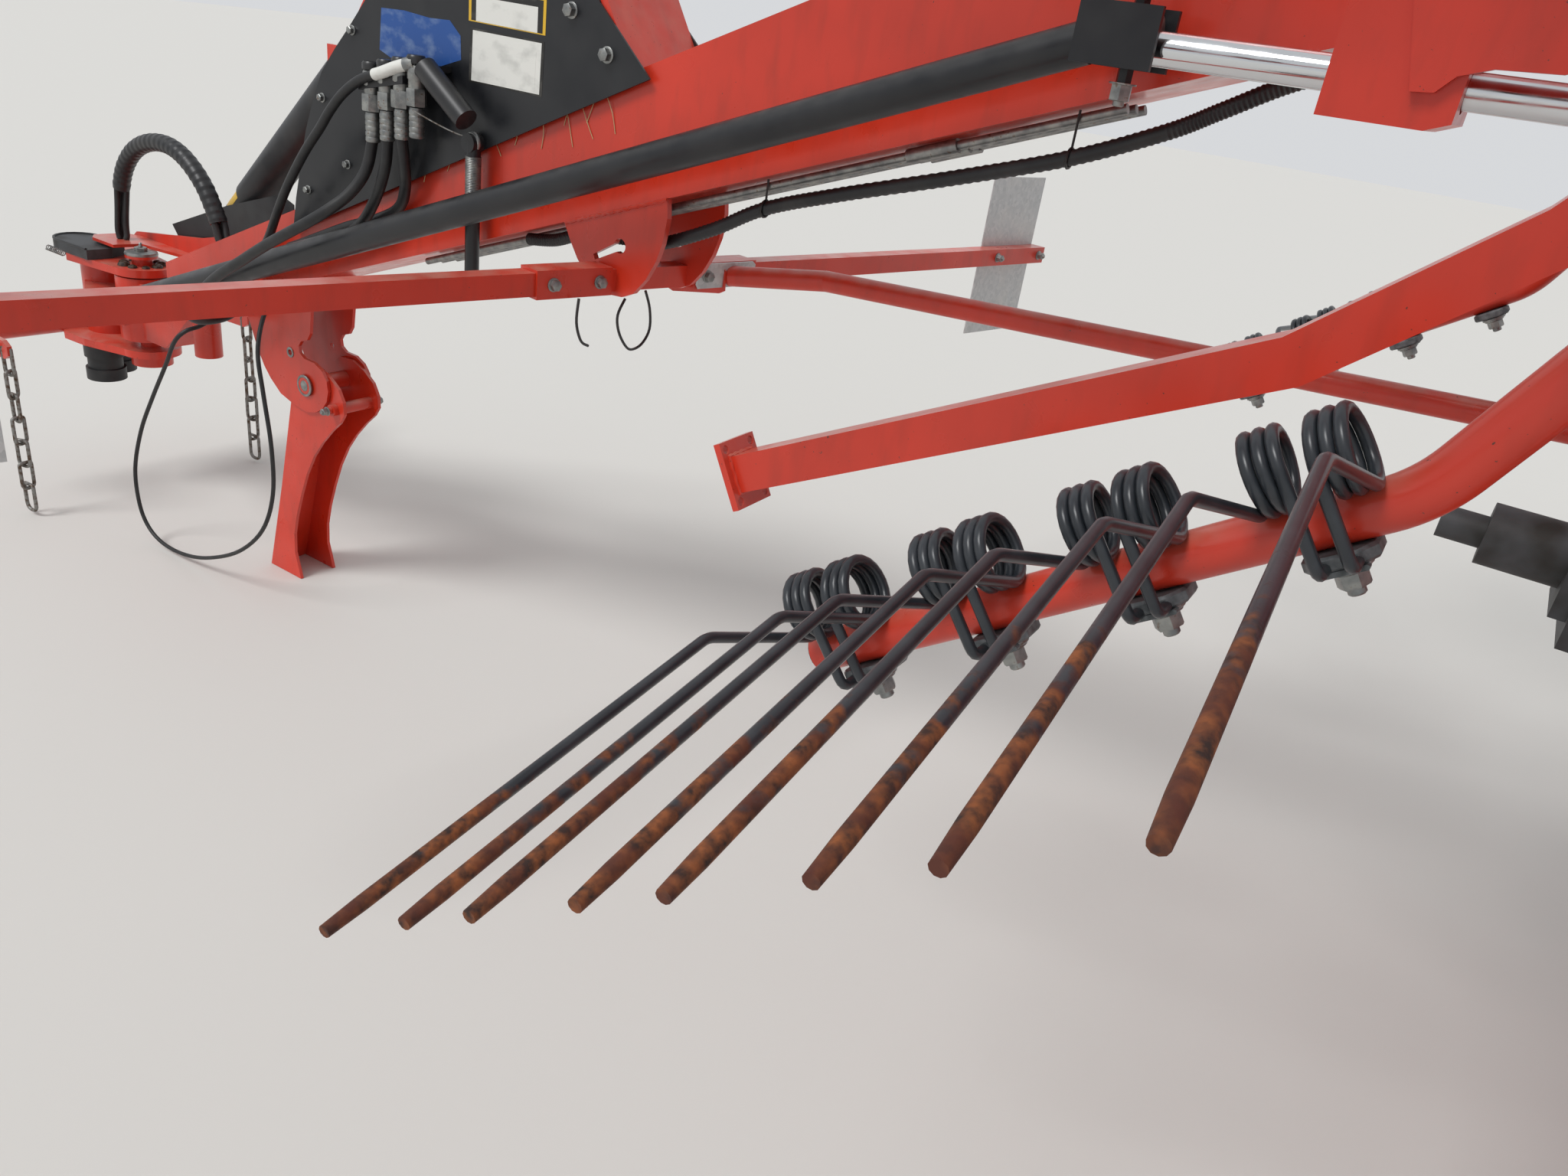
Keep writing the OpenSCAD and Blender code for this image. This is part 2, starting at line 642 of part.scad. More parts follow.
module rotor() {
  color(red) {
    folded() translate([rotor_x, rotor_y, rotor_z]) difference() {
      translate([0, 0, -50]) cylinder(r = 230, h = 100, $fn = 64);
      translate([0, 0, -51]) cylinder(r = 60, h = 102, $fn = 64);
    }
    at_arms() {
      bar([200, 0, 0], [arm_bend_r, 0, 0], arm_r);
      translate([arm_bend_r, 0, 0]) sphere(r = arm_r, $fn = 24);
      translate([arm_bend_r, 0, 0]) rotate([0, 0, arm_bend_deg]) bar([0, 0, 0], [arm_outer, 0, 0], arm_r);
    }
  }
}
module rotor_left() rotor();
module rotor_right() mirror([0, 1, 0]) rotor();

// Wire between two points, as a prism of n sides.
module wire(a, b, n) {
  d = b - a;
  l = norm(d);
  translate(a) rotate([0, acos(d[2] / l), atan2(d[1], d[0])]) cylinder(r = wire_d / 2, h = l, $fn = n);
}

// One double tine: two coils beside the arm, legs, tines, and the clamp under the arm.
module double_tine() {
  c = [coil_off, -24];
  w = coil_r - wire_d / 2;
  clamp = arm_r + 0.1;
  for (s = [-1, 1]) {
    translate([s * 27 - 17, c[0], c[1]]) rotate([0, 90, 0]) linear_extrude(34) difference() {
      circle(r = coil_r, $fn = 10);
      circle(r = coil_r - wire_d, $fn = 6);
    }
    wire([s * 39, c[0] - w + 3, c[1] - 8], [s * 39, leg_y, -leg_z], 5);
    wire([s * 39, leg_y, -leg_z + 4], [s * 39 - 7, leg_y - 8, -leg_z - tine_len], 5);
    wire([s * 13, c[0], c[1] - w + 2], [s * 13, -clamp - 10, -20], 4);
  }
  translate([-24, -clamp - 14, -26]) cube([48, 14, 52]);
  translate([0, -clamp - 14, 0]) rotate([90, 0, 0]) cylinder(r = 14, h = 18, $fn = 4);
}

module tines() {
  color("darkslategray") at_arms() translate([arm_bend_r, 0, 0]) rotate([0, 0, arm_bend_deg])
    for (k = [0 : tine_count - 1]) translate([first_tine + k * tine_pitch, 0, 0]) double_tine();
}
module tines_left() tines();
module tines_right() mirror([0, 1, 0]) tines();

// Lift cylinder between the column and the carrier arm, drawn along +Y from its anchor.
lug_dy = lug_y - fold_y;
lug_dz = lug_z - fold_z;
eye_y = fold_y + lug_dy * cos(fold_deg) - lug_dz * sin(fold_deg);
eye_z = fold_z + lug_dy * sin(fold_deg) + lug_dz * cos(fold_deg);
lift_len = norm([eye_y - lift_y, eye_z - lift_z]);
lift_deg = atan2(eye_z - lift_z, eye_y - lift_y);
module lift_line(side) {
  translate([lift_x, side * lift_y, lift_z])
    rotate([side > 0 ? lift_deg : 180 - lift_deg, 0, 0]) children();
}
module barrel(side) {
  color("black") lift_line(side) {
    difference() {
      union() {
        translate([-38, 0, 0]) rotate([0, 90, 0]) cylinder(r = 28, h = 76, $fn = 32);
        translate([0, 15, 0]) rotate([-90, 0, 0]) cylinder(r = 38, h = lift_len - 77, $fn = 48);
      }
      translate([0, 60, 0]) rotate([-90, 0, 0]) cylinder(r = 20.05, h = 600, $fn = 48);
      translate([-40, 0, 0]) rotate([0, 90, 0]) cylinder(r = 15.05, h = 80, $fn = 32);
    }
  }
}
module piston(side) {
  color("silver") lift_line(side) {
    translate([0, 70, 0]) rotate([-90, 0, 0]) cylinder(r = 20, h = lift_len - 90, $fn = 48);
    translate([-15, lift_len, 0]) rotate([0, 90, 0]) cylinder(r = 32, h = 30, $fn = 32);
    translate([-37, lift_len, 0]) rotate([0, 90, 0]) cylinder(r = 15, h = 60, $fn = 32);
  }
}
module barrel_left() barrel(1);
module barrel_right() barrel(-1);
module piston_left() piston(1);
module piston_right() piston(-1);

// Hoses from the couplings down beside the beam, the arch over the hitch and the hanging cable.
hose_routes = [
  [[1735, 145, 1185.4], [1736, 146, 1160], [1745, 155, 1105], [1765, 178, 1058], [1800, 208, 1018],
    [1860, 232, 975], [1950, 240, 925], [2050, 240, 868], [2150, 240, 810], [2235, 238, 745],
    [2295, 222, 695], [2328, 175, 666], [2345, 112, 660], [2351, 72, 671], [2357, 60.5, 687],
    [2362.2, 60, 698.6]],
  [[1693, 145, 1194.3], [1694, 144, 1168], [1704, 143, 1115], [1737, 141, 1050], [1802, 129, 986],
    [1900, 124, 930], [2010, 120, 880], [2120, 115, 836], [2185, 108, 808], [2199, 100, 801],
    [2200, 92.2, 800]],
  [[1651, 145, 1203.6], [1652, 144, 1176], [1656, 136, 1138], [1672, 121, 1080], [1710, 107, 1035],
    [1780, 104, 1000], [1870, 104, 968], [1960, 104, 930], [2030, 104, 900], [2068, 103, 885],
    [2079, 99, 881], [2080, 92.2, 880]]];
arch_route = [[2985, -20, 708.7], [2984, -20, 740], [2970, -19, 830], [2935, -16, 900],
  [2872, -12, 955], [2790, -8, 988], [2700, -4, 996], [2620, 0, 975], [2555, 0, 925],
  [2512, 0, 860], [2488, 0, 806.3], [2480.1, 0, 789.2]];
loop_route = [[2385, 72, 691.6], [2383, 76, 684], [2376, 104, 658], [2368, 152, 640],
  [2372, 190, 630], [2394, 207, 600], [2442, 207, 530], [2520, 205, 426], [2592, 204, 318],
  [2638, 206, 200], [2638, 206, 100], [2605, 206, 42], [2540, 206, 16], [2440, 206, 20],
  [2330, 206, 52], [2200, 205, 118], [2100, 203, 210], [2050, 202, 320], [2044, 202, 440],
  [2064, 200, 560], [2090, 190, 650], [2108, 160, 720], [2117, 120, 772], [2120, 104, 786],
  [2120, 91.4, 790]];

module front_hose(i) {
  color("black") hose(curve(hose_routes[i], 3), 11, [0, 1, 0.2]);
}
module front_hose_a() front_hose(0);
module front_hose_b() front_hose(1);
module front_hose_c() front_hose(2);
module hose_arch() {
  color("black") hose(curve(arch_route, 3), 22, [0, 1, 0]);
}
module cable_loop() {
  color("black") hose(curve(loop_route, 3), 5, [0, 1, 0.01]);
}

main_beam();
column();
crossbeam();
rear_axle();
central_gearbox();
front_bar();
sign_plates();
guard_rail();
panel_frame();
side_panels();
hydraulic_pipes();
hose_holder();
drive_shaft();
hang_strut();
front_shield();
stand_ears();
stand_leg();
rod_guide();
hitch_head();
hitch_cover();
hitch_bellows();
hitch_chains();
steering_rod();
steering_plate();
tie_rod();
knuckle_left();
knuckle_right();
tyre_left();
tyre_right();
rim_left();
rim_right();
carrier_left();
carrier_right();
gearbox_left();
gearbox_right();
bogie_left();
bogie_right();
rotor_left();
rotor_right();
tines_left();
tines_right();
small_wheel_l1();
small_wheel_l2();
small_wheel_l3();
small_wheel_l4();
small_wheel_r1();
small_wheel_r2();
small_wheel_r3();
small_wheel_r4();
barrel_left();
barrel_right();
piston_left();
piston_right();
front_hose_a();
front_hose_b();
front_hose_c();
hose_arch();
cable_loop();
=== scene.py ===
import json
from math import cos, pi, radians, sin, tan, tau

import bpy
from bpy.props import FloatProperty, FloatVectorProperty, IntProperty, PointerProperty
from mathutils import Matrix, Vector


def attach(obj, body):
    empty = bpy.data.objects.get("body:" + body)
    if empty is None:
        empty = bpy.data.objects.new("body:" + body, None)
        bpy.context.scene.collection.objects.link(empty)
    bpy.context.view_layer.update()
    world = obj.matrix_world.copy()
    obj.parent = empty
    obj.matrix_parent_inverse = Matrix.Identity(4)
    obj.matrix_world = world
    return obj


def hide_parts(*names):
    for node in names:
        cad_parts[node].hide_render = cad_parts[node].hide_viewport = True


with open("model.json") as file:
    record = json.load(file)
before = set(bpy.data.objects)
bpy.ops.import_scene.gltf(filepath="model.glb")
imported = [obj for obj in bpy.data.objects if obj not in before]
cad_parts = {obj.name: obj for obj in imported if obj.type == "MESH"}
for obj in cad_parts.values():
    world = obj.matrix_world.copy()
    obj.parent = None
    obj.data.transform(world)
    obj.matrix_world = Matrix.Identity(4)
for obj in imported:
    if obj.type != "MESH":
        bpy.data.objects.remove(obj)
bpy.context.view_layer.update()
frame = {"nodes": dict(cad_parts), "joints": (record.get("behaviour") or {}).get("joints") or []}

bl_info = {
    "name": "Twin rotor hay rake",
    "version": (1, 0, 0),
    "blender": (4, 5, 0),
    "location": "3D View > Sidebar > Hay rake",
    "description": "Dresses the packed hay rake with its enamel, springs, hoses and fasteners",
    "category": "Object",
}

JOINTS = {joint["name"]: joint for joint in frame["joints"]}
FOLD_PIVOT, STAND_PIVOT, HITCH_PIVOT, ROAD_WHEEL = [
    Vector(JOINTS[name]["pos_m"])
    for name in ("fold_left", "stand_fold", "hitch_yaw", "road_wheel_left_spin")]
FOLD_ANGLE = radians(-JOINTS["fold_left"]["range_deg"][0])

QUARTER = pi / 2
SIDES = ((1, "left"), (-1, "right"))

# Main sizes of the frame in metres, the same as in the part's source
PANEL_FACE = 0.1043
BEAM_KNEE_X, BEAM_KNEE_Z, BEAM_SLOPE = 1.780, 0.910, 0.36
ROD_Y = 0.170
LINK_SIDE = 0.336
ROTOR_CENTRE = Vector((-0.745, 2.090, 0.662))
FIRST_ARM = radians(-61)
ARM_DROOP = radians(2.5)
ARM_COUNT = 11
ARM_RADIUS = 0.021
BEND_AT = 1.058
BEND_TURN = radians(26)
ELBOW = 0.120
ARM_END = 0.560
FIRST_TINE = 0.066
TINE_PITCH = 0.146
TINES_ON_ARM = 4
TYRE_RADIUS, TYRE_WIDTH, RIM_RADIUS = ROAD_WHEEL.z, 0.260, 0.200
SMALL_WHEEL_RADIUS = 0.200
SMALL_WHEEL_SPOTS = ((0.480, 0.250), (-0.480, 0.250), (-0.480, -0.250), (0.480, -0.250))
FRONT_BAR_X, FRONT_BAR_Z, FRONT_BAR_SWEEP = 1.145, 1.015, radians(-10.8)

# Proportions of a bolt, as parts of its size across the flats
WASHER_RADIUS, HEAD_HEIGHT, NUT_HEIGHT, FACE_RADIUS, STEM_RADIUS = 0.72, 0.62, 0.80, 0.46, 0.31
WASHER_THICKNESS = 0.0022
SHARP_FROM = radians(38)


def linear(hex_colour):
    """An sRGB hex colour, such as D8462F, as linear RGBA."""
    channels = [int(hex_colour[i:i + 2], 16) / 255 for i in (0, 2, 4)]
    return (*[v / 12.92 if v <= 0.04045 else ((v + 0.055) / 1.055) ** 2.4 for v in channels], 1.0)


# What a user may change

class RakeLooks(bpy.types.PropertyGroup):
    """Colours of the painted and coated parts."""
    red_paint: FloatVectorProperty(
        name="Red enamel", description="Colour of the beam, arms and guards", subtype="COLOR",
        size=3, min=0, max=1, default=linear("CB321B")[:3])
    black_paint: FloatVectorProperty(
        name="Black enamel", description="Colour of the panels and the steering tube", subtype="COLOR",
        size=3, min=0, max=1, default=linear("101217")[:3])
    tine_coat: FloatVectorProperty(
        name="Tine coating", description="Colour of the coated spring wire", subtype="COLOR",
        size=3, min=0, max=1, default=linear("24282D")[:3])


class RakeSizes(bpy.types.PropertyGroup):
    """Sizes of the wound, bent and bought-in parts."""
    wire: FloatProperty(
        name="Tine wire", description="Diameter of the spring wire", unit="LENGTH", default=0.0105)
    coil: FloatProperty(
        name="Coil diameter", description="Outer diameter of a tine's coil", unit="LENGTH",
        default=0.070)
    wire_sides: IntProperty(
        name="Wire sides", description="Flats round the spring wire", default=10, min=6, max=16)
    bolt_flats: FloatProperty(
        name="Bolt head", description="Size across the flats of a panel bolt", unit="LENGTH",
        default=0.019)
    hose: FloatProperty(
        name="Hose diameter", description="Diameter of a hydraulic hose", unit="LENGTH", default=0.022)
    cable: FloatProperty(
        name="Cable diameter", description="Diameter of the hanging cable", unit="LENGTH",
        default=0.010)
    bundle: FloatProperty(
        name="Bundle diameter", description="Diameter of the wrapped hose bundle", unit="LENGTH",
        default=0.044)
    tread: FloatProperty(
        name="Tread depth", description="Depth of a road tyre's grooves", unit="LENGTH", default=0.007)


def looks():
    """The colours as they are set now."""
    return bpy.context.scene.rake_looks


def sizes():
    """The sizes as they are set now."""
    return bpy.context.scene.rake_sizes


# Colours and the making of a finish

def rgba(colour):
    """A hex string, or a colour property, as linear RGBA."""
    return linear(colour) if isinstance(colour, str) else (*colour, 1.0)


def shade(colour, factor):
    """A colour made darker or lighter."""
    return tuple(min(1.0, value * factor) for value in colour)


class Surface:
    """A finish in the making: its nodes, its shader and the colour that lies uppermost so far."""

    def __init__(self, name, colour, roughness, metallic=0.0, ior=None):
        self.material = bpy.data.materials.new(name)
        self.material.use_nodes = True
        self.tree = self.material.node_tree
        self.tree.nodes.clear()
        self.colour = colour
        self.shader = self.add("ShaderNodeBsdfPrincipled", Base_Color=rgba(colour),
                               Roughness=roughness, Metallic=metallic)
        if ior:
            self.shader.inputs["IOR"].default_value = ior
        self.add("ShaderNodeOutputMaterial", {0: self.shader.outputs[0]})

    def add(self, kind, links=None, **settings):
        """Adds one node: settings are its properties or input values, links join its inputs to outputs."""
        node = self.tree.nodes.new(kind)
        for key, value in settings.items():
            if hasattr(node, key):
                setattr(node, key, value)
            else:
                node.inputs[key.replace("_", " ")].default_value = value
        for name, socket in (links or {}).items():
            self.tree.links.new(socket, node.inputs[name])
        return node

    def feed(self, name, socket):
        """Joins an output to one of the shader's inputs."""
        self.tree.links.new(socket, self.shader.inputs[name])

    def noise(self, grain_mm, detail=3.0, stretch=None):
        """Noise whose blotches are about grain_mm across, read in the piece's own coordinates."""
        place = self.add("ShaderNodeTexCoord").outputs["Object"]
        if stretch:
            place = self.add("ShaderNodeMapping", {"Vector": place}, Scale=stretch).outputs[0]
        return self.add("ShaderNodeTexNoise", {"Vector": place}, Scale=1000 / grain_mm,
                        Detail=detail).outputs[0]

    def patches(self, grain_mm, low, high, dark=0.0, light=1.0, detail=3.0, stretch=None):
        """Blotches about grain_mm across: dark where noise is under low, light where it is over high."""
        return self.add("ShaderNodeMapRange", {"Value": self.noise(grain_mm, detail, stretch)},
                        From_Min=low, From_Max=high, To_Min=dark, To_Max=light).outputs[0]

    def dust(self, *patches):
        """Patches that lie only on faces that look up."""
        normal = self.add("ShaderNodeNewGeometry").outputs["Normal"]
        height = self.add("ShaderNodeSeparateXYZ", {0: normal}).outputs[2]
        upward = self.add("ShaderNodeMapRange", {"Value": height}, From_Min=0.25, From_Max=0.95)
        return self.add("ShaderNodeMath", {0: upward.outputs[0], 1: self.patches(*patches)},
                        operation="MULTIPLY").outputs[0]

    def lay(self, factor, over, under=None):
        """Lays a colour over the one so far, or over a given one, as far as the factor says."""
        node = self.add("ShaderNodeMix", {0: factor}, data_type="RGBA")
        for index, colour in ((6, self.colour if under is None else under), (7, over)):
            if isinstance(colour, bpy.types.NodeSocket):
                self.tree.links.new(colour, node.inputs[index])
            else:
                node.inputs[index].default_value = rgba(colour)
        self.colour = node.outputs[2]
        self.feed("Base Color", self.colour)
        return self.colour

    def bumps(self, depth_mm, strength, grain_mm, detail=3.0, stretch=None, where=None):
        """Bumps about grain_mm across and depth_mm high, everywhere or as far as another value says."""
        height = self.noise(grain_mm, detail, stretch)
        if where:
            height = self.add("ShaderNodeMath", {0: where, 1: height}, operation="MULTIPLY").outputs[0]
        bump = self.add("ShaderNodeBump", {"Height": height}, Strength=strength, Distance=depth_mm / 1000)
        self.feed("Normal", bump.outputs[0])


# Materials, one function for each finish

def red_enamel():
    """Gloss enamel sprayed on welded steel: lively red, faded, dusty on top and chipped in spots."""
    red = looks().red_paint
    paint = Surface("red_enamel", red, 0.34, ior=1.5)
    paint.lay(paint.patches(260, 0.35, 0.7), shade(red, 1.08), shade(red, 0.86))
    paint.lay(paint.patches(30, 0.5, 0.8, 0, 0.35, stretch=(1, 1, 0.25)), "8E2A18")
    paint.lay(paint.dust(45, 0.3, 0.75, 0.05, 0.5), "B79C8B")
    paint.lay(paint.patches(5, 0.73, 0.76, detail=2), "4A2A1E")
    paint.feed("Roughness", paint.patches(60, 0.3, 0.7, 0.26, 0.46))
    paint.shader.inputs["Coat Weight"].default_value = 0.25
    paint.shader.inputs["Coat Roughness"].default_value = 0.15
    paint.bumps(0.15, 0.12, 3, 1)


def black_enamel():
    """Blue-black enamel on drawn tube and sheet: smooth and half glossy under a film of pale dust."""
    paint = Surface("black_enamel", looks().black_paint, 0.38, ior=1.5)
    paint.lay(paint.patches(90, 0.35, 0.8, 0, 0.09), "6E6D6A")
    paint.lay(paint.dust(30, 0.35, 0.8, 0.01, 0.16), "8A857C")
    paint.feed("Roughness", paint.patches(45, 0.3, 0.75, 0.28, 0.5))
    paint.bumps(0.1, 0.1, 4, 1)


def galvanised_sheet():
    """Hot-dip galvanised steel: dull silver with spangles about 9 mm across and white bloom."""
    zinc = Surface("galvanised_sheet", "C2C4C4", 0.46, 0.5)
    place = zinc.add("ShaderNodeTexCoord").outputs["Object"]
    spangle = zinc.add("ShaderNodeTexVoronoi", {"Vector": place}, Scale=110)
    tone = zinc.add("ShaderNodeSeparateColor", {0: spangle.outputs["Color"]}).outputs[0]
    zinc.lay(tone, "CACCCC", "B2B5B6")
    zinc.lay(zinc.patches(70, 0.5, 0.8, 0, 0.5), "D2D0CA")
    rough = zinc.add("ShaderNodeMapRange", {"Value": tone}, To_Min=0.38, To_Max=0.56)
    zinc.feed("Roughness", rough.outputs[0])


def zinc_plate():
    """Zinc-plated fasteners and pipes: soft grey metal that has gone chalky, with brown specks."""
    zinc = Surface("zinc_plate", "8F9190", 0.42, 0.85)
    zinc.lay(zinc.patches(14, 0.35, 0.7), "A4A5A1", "7C7E7E")
    zinc.lay(zinc.patches(7, 0.62, 0.7, 0, 0.7), "6B5140")
    zinc.bumps(0.1, 0.25, 2.5, 2)


def spring_steel():
    """Hardened spring wire dipped blue-black, scraped to brown rust towards the tips."""
    steel = Surface("coated_spring_steel", looks().tine_coat, 0.34, ior=1.5)
    wear = steel.add("ShaderNodeAttribute", attribute_name="wear").outputs["Fac"]
    ragged = steel.patches(22, 0.25, 0.75, -0.28, 0.28, 4)
    spread = steel.add("ShaderNodeMath", {0: wear, 1: ragged}).outputs[0]
    bare = steel.add("ShaderNodeMapRange", {"Value": spread}, From_Min=0.56, From_Max=0.72).outputs[0]
    steel.lay(steel.patches(9, 0.35, 0.65, detail=4), "8C5029", "2E1E18")
    rust = steel.lay(steel.patches(30, 0.4, 0.65), "54291C")
    coat = steel.lay(steel.patches(40, 0.4, 0.8, 0, 0.5), "474B50", looks().tine_coat)
    steel.lay(bare, rust, coat)
    rough = steel.add("ShaderNodeMapRange", {"Value": bare}, To_Min=0.33, To_Max=0.8)
    steel.feed("Roughness", rough.outputs[0])
    steel.bumps(0.5, 0.6, 3, 4, where=bare)


def dark_casting():
    """Cast clamps blackened like the wire: matt grey-black with a sandy skin."""
    iron = Surface("dark_casting", "5A5E60", 0.55, 0.35)
    iron.lay(iron.patches(12, 0.35, 0.7), "75787A", "474B4D")
    iron.bumps(0.25, 0.4, 1.6)


def hard_chrome():
    """Ground and hard-chromed rod: mirror bright with a little road film."""
    chrome = Surface("hard_chrome", "D6D8DA", 0.14, 1.0)
    chrome.feed("Roughness", chrome.patches(40, 0.35, 0.75, 0.09, 0.26))


def tyre_rubber():
    """Vulcanised tyre rubber: matt black-brown, grey where dust clings."""
    rubber = Surface("tyre_rubber", "1C1B1A", 0.88)
    rubber.lay(rubber.patches(50, 0.35, 0.8, 0.05, 0.55, 4), "6B645A")
    rubber.bumps(0.3, 0.3, 4)


def moulded_plastic():
    """Injection-moulded polyethylene guard: black, waxy and finely pebbled."""
    plastic = Surface("moulded_polyethylene", "18191C", 0.42, ior=1.5)
    plastic.lay(plastic.patches(60, 0.4, 0.8, 0, 0.22), "55534F")
    plastic.bumps(0.1, 0.2, 1.5, 2)


def hose_rubber():
    """Wrapped hydraulic hose: satin black rubber with the faint cross-hatch of its wrapping cloth."""
    rubber = Surface("hose_rubber", "17181A", 0.5)
    rubber.lay(rubber.patches(35, 0.4, 0.8, 0, 0.25), "4C4A47")
    rubber.bumps(0.15, 0.3, 1.4, 1, (1, 1, 3))


def cast_iron():
    """Sand-cast gearbox housing under thin grey paint: matt and grainy, oily in the hollows."""
    iron = Surface("cast_iron", "3C3E40", 0.6, 0.2)
    iron.lay(iron.patches(80, 0.45, 0.7), "26241F", "46484A")
    iron.bumps(0.4, 0.4, 2.2)


def forged_chain():
    """Forged and galvanised chain: grey, scuffed, with brown in the joints."""
    steel = Surface("forged_chain", "77756F", 0.55, 0.7)
    steel.lay(steel.patches(10, 0.45, 0.65, detail=4), "594637", "8B8A86")
    steel.bumps(0.2, 0.4, 2)


def vinyl(name, colour, worn):
    """Printed vinyl label, left blank: flat and slightly glossy, rubbed pale along its scuffs."""
    sheet = Surface(name, colour, 0.4, ior=1.46)
    sheet.lay(sheet.patches(38, 0.52, 0.72, 0, 0.4, 5, (1, 1, 1.6)), worn)


def silver_enamel():
    """Silver enamel on pressed wheel discs: pale and slightly metallic, dusty in the dish."""
    paint = Surface("silver_enamel", "B4B6B5", 0.4, 0.5)
    paint.lay(paint.patches(70, 0.4, 0.8, 0, 0.45, 4), "8C857A")
    paint.bumps(0.1, 0.1, 4, 1)


def nylon():
    """Nylon cable ties and caps: plain black, a little shiny."""
    plastic = Surface("nylon", "1A1A1B", 0.36, ior=1.53)
    plastic.lay(plastic.patches(25, 0.4, 0.8, 0, 0.3), "4A4845")


def old_grease():
    """Grease squeezed from the pivot and full of grit: dark, wet and lumpy."""
    grease = Surface("old_grease", "2B221A", 0.35)
    grease.lay(grease.patches(8, 0.4, 0.6), "4A3D2E", "1E1813")
    grease.bumps(1.5, 0.8, 5, 4)


def dry_straw():
    """Dry hay stalks: pale straw yellow with a silky sheen."""
    stalk = Surface("dry_straw", "C2AB78", 0.6)
    stalk.lay(stalk.noise(20), "D8C79A", "A58E5C")


# Places and lines

def shift(x=0.0, y=0.0, z=0.0):
    """A place moved by x, y and z."""
    return Matrix.Translation((x, y, z))


def spin(angle, axis):
    """A place turned about one axis."""
    return Matrix.Rotation(angle, 4, axis)


def facing(at, along, turn=0.0):
    """A place whose Z axis points along a direction, turned about it."""
    axes = Vector(along).to_track_quat("Z", "Y").to_matrix().to_4x4()
    return shift(*at) @ axes @ spin(turn, "Z")


def circle(radius, count, first=0.0):
    """Points spread evenly round a circle, from the angle first."""
    angles = [first + tau * k / count for k in range(count)]
    return [(radius * cos(angle), radius * sin(angle)) for angle in angles]


def around(place, radius, count, z=0.0, first=0.0):
    """Places spread evenly round a place's Z axis, at the height z, each with that place's axes."""
    return [place @ shift(x, y, z) for x, y in circle(radius, count, first)]


def mirrored(side):
    """The left side itself (1), or its mirror image on the right (-1)."""
    return Matrix.Scale(side, 4, (0, 1, 0))


def fold_place(side):
    """Moves a rotor's parts from their working place to the folded one, on the left (1) or right (-1)."""
    return mirrored(side) @ shift(*FOLD_PIVOT) @ spin(FOLD_ANGLE, "X") @ shift(*-FOLD_PIVOT)


def rotor_place(side):
    """The middle of a folded rotor, its axis along Z."""
    return fold_place(side) @ shift(*ROTOR_CENTRE)


def arm_places(side):
    """The place of each tine arm, with the arm along X and the ground below it along -Z."""
    return [rotor_place(side) @ spin(FIRST_ARM + i * tau / ARM_COUNT, "Z") @ spin(ARM_DROOP, "Y")
            for i in range(ARM_COUNT)]


def beam_underside(x):
    """Height of the arched beam's lower face."""
    return BEAM_KNEE_Z + BEAM_SLOPE * (BEAM_KNEE_X - x)


def smooth_line(points, steps=6):
    """Smooth curve through the points, with some steps between neighbours."""
    points = [Vector(p) for p in points]
    last = len(points) - 1
    out = []
    for i in range(last):
        a, b, c, d = points[max(i - 1, 0)], points[i], points[i + 1], points[min(i + 2, last)]
        for j in range(steps):
            t = j / steps
            out.append(0.5 * (2 * b + (c - a) * t + (2 * a - 5 * b + 4 * c - d) * t * t
                              + (3 * b - a - 3 * c + d) * t ** 3))
    return out + [points[-1]]


def rounded(corners, radius, steps=5):
    """A line through the corners with each inner corner rounded to the radius."""
    corners = [Vector(p) for p in corners]
    out = [corners[0]]
    for before, at, after in zip(corners, corners[1:], corners[2:]):
        back, on = (before - at).normalized(), (after - at).normalized()
        reach = min(radius / tan(back.angle(on) / 2), 0.49 * (before - at).length,
                    0.49 * (after - at).length)
        first, last = at + back * reach, at + on * reach
        for t in (k / steps for k in range(steps + 1)):
            out.append((1 - t) ** 2 * first + 2 * t * (1 - t) * at + t * t * last)
    return out + [corners[-1]]


def heading(line, i, closed=False):
    """Direction of a line at its point i."""
    if closed:
        return (line[(i + 1) % len(line)] - line[i - 1]).normalized()
    return (line[min(i + 1, len(line) - 1)] - line[max(i - 1, 0)]).normalized()


def centre_of(outline):
    """The mean of an outline's points."""
    return Vector([sum(p[axis] for p in outline) / len(outline) for axis in (0, 1)])


def both_halves(section, half):
    """A closed profile from its lower half, whose heights are measured from the lower edge."""
    return [(r, z - half) for r, z in section] + [(r, half - z) for r, z in reversed(section)]


def skin(rows, sides, closed):
    """Faces between neighbouring rings of points; a form that isn't closed gets a lid at each end."""
    faces = []
    for i in range(rows if closed else rows - 1):
        j = (i + 1) % rows
        for k in range(sides):
            n = (k + 1) % sides
            faces.append([i * sides + k, i * sides + n, j * sides + n, j * sides + k])
    if not closed:
        faces.append(list(range(sides - 1, -1, -1)))
        faces.append([(rows - 1) * sides + k for k in range(sides)])
    return faces


